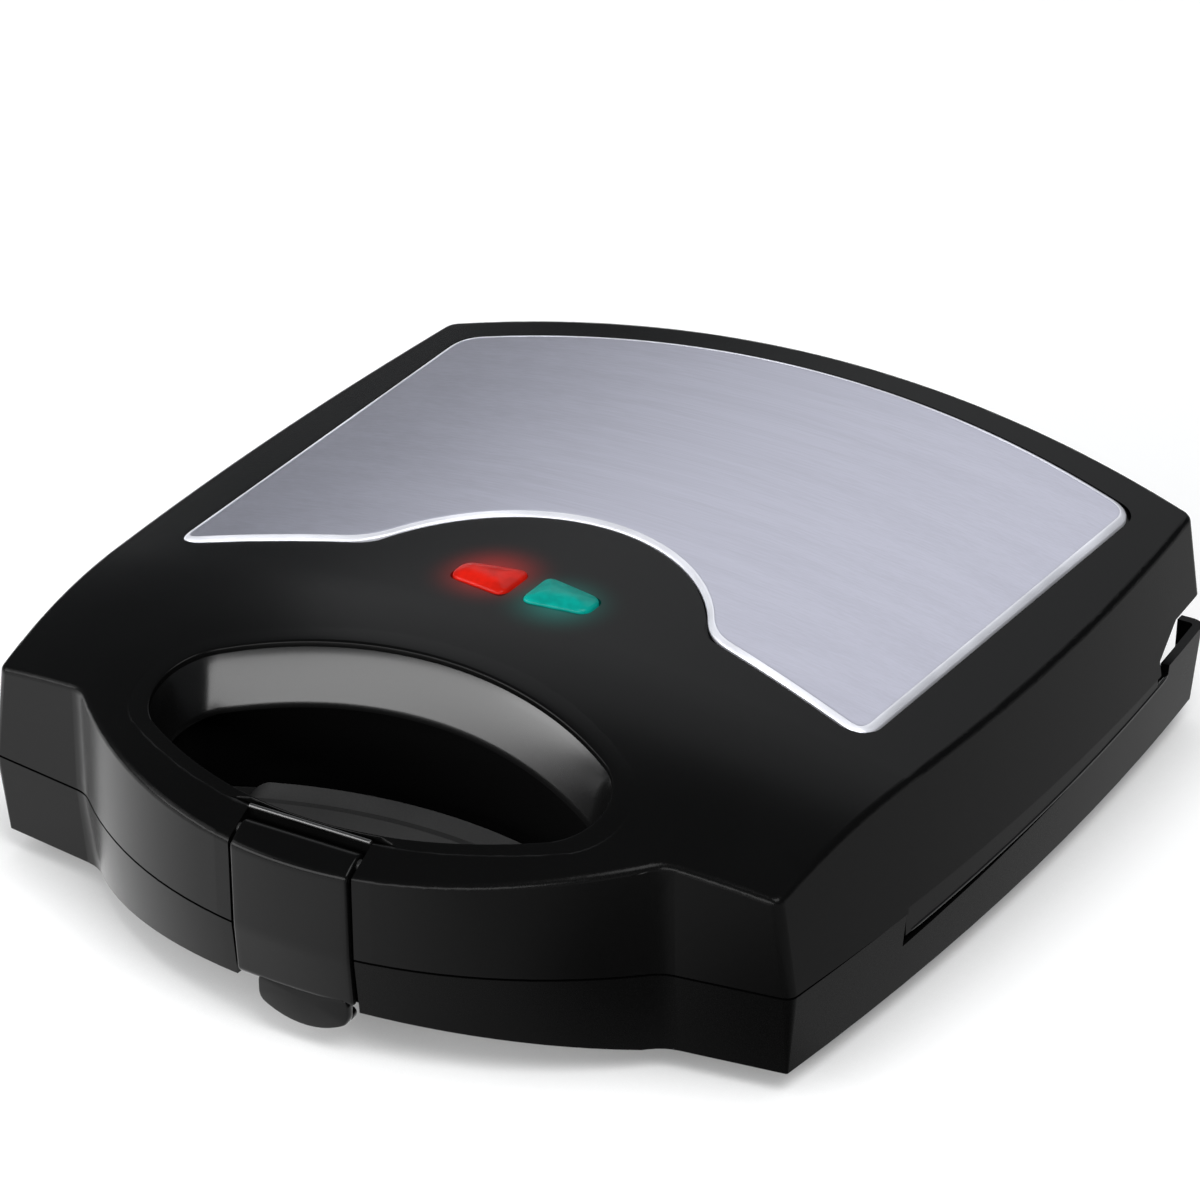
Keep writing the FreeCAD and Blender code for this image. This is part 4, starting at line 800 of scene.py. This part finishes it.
top_sheet()
lamp_lens("power_lens_dome", "lens_red", "power_lens", -1)
lamp_lens("ready_lens_dome", "lens_green", "ready_lens", 1)
opening_rim()
opening_skirt()
latch_face()
tongue("latch_tab", TAB_TOP, TAB_FRONT, LATCH_BACK)
tongue("latch_hook", HOOK_TOP, HOOK_FRONT, HOOK_BACK)
pocket_bead()
lip_edge("left_lip_edge", -1)
lip_edge("right_lip_edge", 1)
well_lip()
for foot in ("foot_front_left", "foot_front_right", "foot_rear_left", "foot_rear_right"):
    foot_pad(foot)


def camera():
    """Camera at the photograph's place: yaw, pitch and roll, with a lens that gives its focal length."""
    cos_pitch = math.cos(CAMERA_PITCH)
    look = Vector((-math.sin(CAMERA_YAW) * cos_pitch, math.cos(CAMERA_YAW) * cos_pitch,
                   -math.sin(CAMERA_PITCH)))
    level = Vector((math.cos(CAMERA_YAW), math.sin(CAMERA_YAW), 0.0))
    upright = level.cross(look)
    right = math.cos(CAMERA_ROLL) * level + math.sin(CAMERA_ROLL) * upright
    up = -math.sin(CAMERA_ROLL) * level + math.cos(CAMERA_ROLL) * upright
    data = bpy.data.cameras.new("camera")
    data.sensor_width = SENSOR_WIDTH
    data.lens = FOCAL_PIXELS * SENSOR_WIDTH / PHOTO_SIDE
    data.clip_end = VIEW_END
    made = bpy.data.objects.new("camera", data)
    turn = Matrix((right, up, -look)).transposed().to_4x4()
    made.matrix_world = Matrix.Translation(Vector(CAMERA_PLACE) * MM) @ turn
    bpy.context.collection.objects.link(made)
    bpy.context.scene.camera = made


# Lamps: place, target, width and height in metres, then watts and tint
SOFTBOXES = {
    "key": ((0.85, -0.55, 1.5), (0.0, 0.0, 0.0), 1.0, 1.0, 24.0, EVEN),
    "rear_wall": ((-0.42, 1.5, 1.3), (0.0, 0.05, 0.05), 1.9, 1.0, 6.2, (0.97, 0.98, 1.0)),
    "left_fill": ((-1.4, -0.9, 0.9), (0.0, 0.0, 0.0), 0.9, 0.9, 7.0, EVEN),
    "front_band": ((-0.508, -1.517, 0.49), (0.0, 0.0, 0.05), 3.0, 0.5, 40.0, EVEN),
}


def softbox(name, place, target, width, height, power, tint):
    """Rectangular lamp that faces a target."""
    data = bpy.data.lights.new(name, "AREA")
    data.shape = "RECTANGLE"
    data.size = width
    data.size_y = height
    data.energy = power
    data.color = tint
    made = bpy.data.objects.new(name, data)
    facing = (Vector(target) - Vector(place)).to_track_quat("-Z", "Y").to_matrix().to_4x4()
    made.matrix_world = Matrix.Translation(Vector(place)) @ facing
    bpy.context.collection.objects.link(made)


# Floor, in metres: painted dark patches that only reflections see, its levels of light and the shade near
# the part
FLOOR_HALF = 6.0
MIRROR_SHADE_EDGE = (-0.03, 0.09)
MIRROR_SHADE_DEPTH = 0.68
MIRROR_SHADE_PLACE = (0.128, -0.132, 0.0)
MIRROR_SHADE_REACH = (0.026, 0.072)
FLOOR_TONE = 0.75
FLOOR_ROUGH = 0.9
FLOOR_GLOW = 1.5
FLOOR_GRAIN_SIZE = 300.0
FLOOR_GRAIN = 0.03
SEEN_GLOW = 0.38
MIRRORED_GLOW = 1.35
CONTACT_REACH = 0.024
CONTACT_DEPTH = 0.55
CONTACT_SAMPLES = 8


def floor():
    """Wide pale floor: white, with a soft painted contact shade, and painted dark patches at the right that
    only reflections see.
    """
    corners = np.array([(-1, -1, 0), (1, -1, 0), (1, 1, 0), (-1, 1, 0)]) * FLOOR_HALF
    mesh = bpy.data.meshes.new("floor")
    mesh.from_pydata(corners.tolist(), [], [(0, 1, 2, 3)])
    made = bpy.data.objects.new("floor", mesh)
    bpy.context.collection.objects.link(made)
    finish, shader, f = material("floor_paper", Roughness=FLOOR_ROUGH, Emission_Strength=FLOOR_GLOW,
                                 Specular_IOR_Level=0.0)
    where = f.node("ShaderNodeTexCoord", out=3)
    side = f.node("ShaderNodeSeparateXYZ", i0=where)
    corner = f.node("ShaderNodeVectorMath", {"operation": "DISTANCE"}, out=1, i0=where, i1=MIRROR_SHADE_PLACE)
    # Painted shade seen only in reflections: darker towards the right and near the right front corner
    mirror_shade = (1.0 - side.step(*MIRROR_SHADE_EDGE) * MIRROR_SHADE_DEPTH) * corner.step(*MIRROR_SHADE_REACH)
    seen = f.node("ShaderNodeLightPath", out=0)
    glossy = f.node("ShaderNodeLightPath", out=3)
    through = f.node("ShaderNodeLightPath", out=6)
    shade = 1.0 - glossy * (1.0 - mirror_shade)
    direct = f.math("MINIMUM", seen + through, 1.0)
    open_sky = f.node("ShaderNodeAmbientOcclusion", {"samples": CONTACT_SAMPLES}, out=1,
                      Distance=CONTACT_REACH)
    contact = 1.0 - direct * (1.0 - open_sky) * CONTACT_DEPTH
    # Lift: white for the camera, and a brighter level painted into reflections alone
    lift = (direct * contact * SEEN_GLOW + glossy * shade * MIRRORED_GLOW) / FLOOR_GLOW
    grain = 1 - FLOOR_GRAIN + noise(f, EVEN, FLOOR_GRAIN_SIZE) * FLOOR_GRAIN
    feed(shader, Base_Color=(shade * contact * grain).between(BLACK, rgba(*[FLOOR_TONE] * 3)),
         Emission_Color=lift.between(BLACK, WHITE))
    mesh.materials.append(finish)


STUDIO_TINT = rgba(0.9, 0.95, 1.0)
STUDIO_LEVEL = 0.16


def world():
    """Dim even studio."""
    made = bpy.data.worlds.new("studio")
    made.use_nodes = True
    back = made.node_tree.nodes["Background"]
    back.inputs["Color"].default_value = STUDIO_TINT
    back.inputs["Strength"].default_value = STUDIO_LEVEL
    bpy.context.scene.world = made


camera()
floor()
world()
for lamp, settings in SOFTBOXES.items():
    softbox(lamp, *settings)

bpy.context.scene.view_settings.view_transform = "Standard"
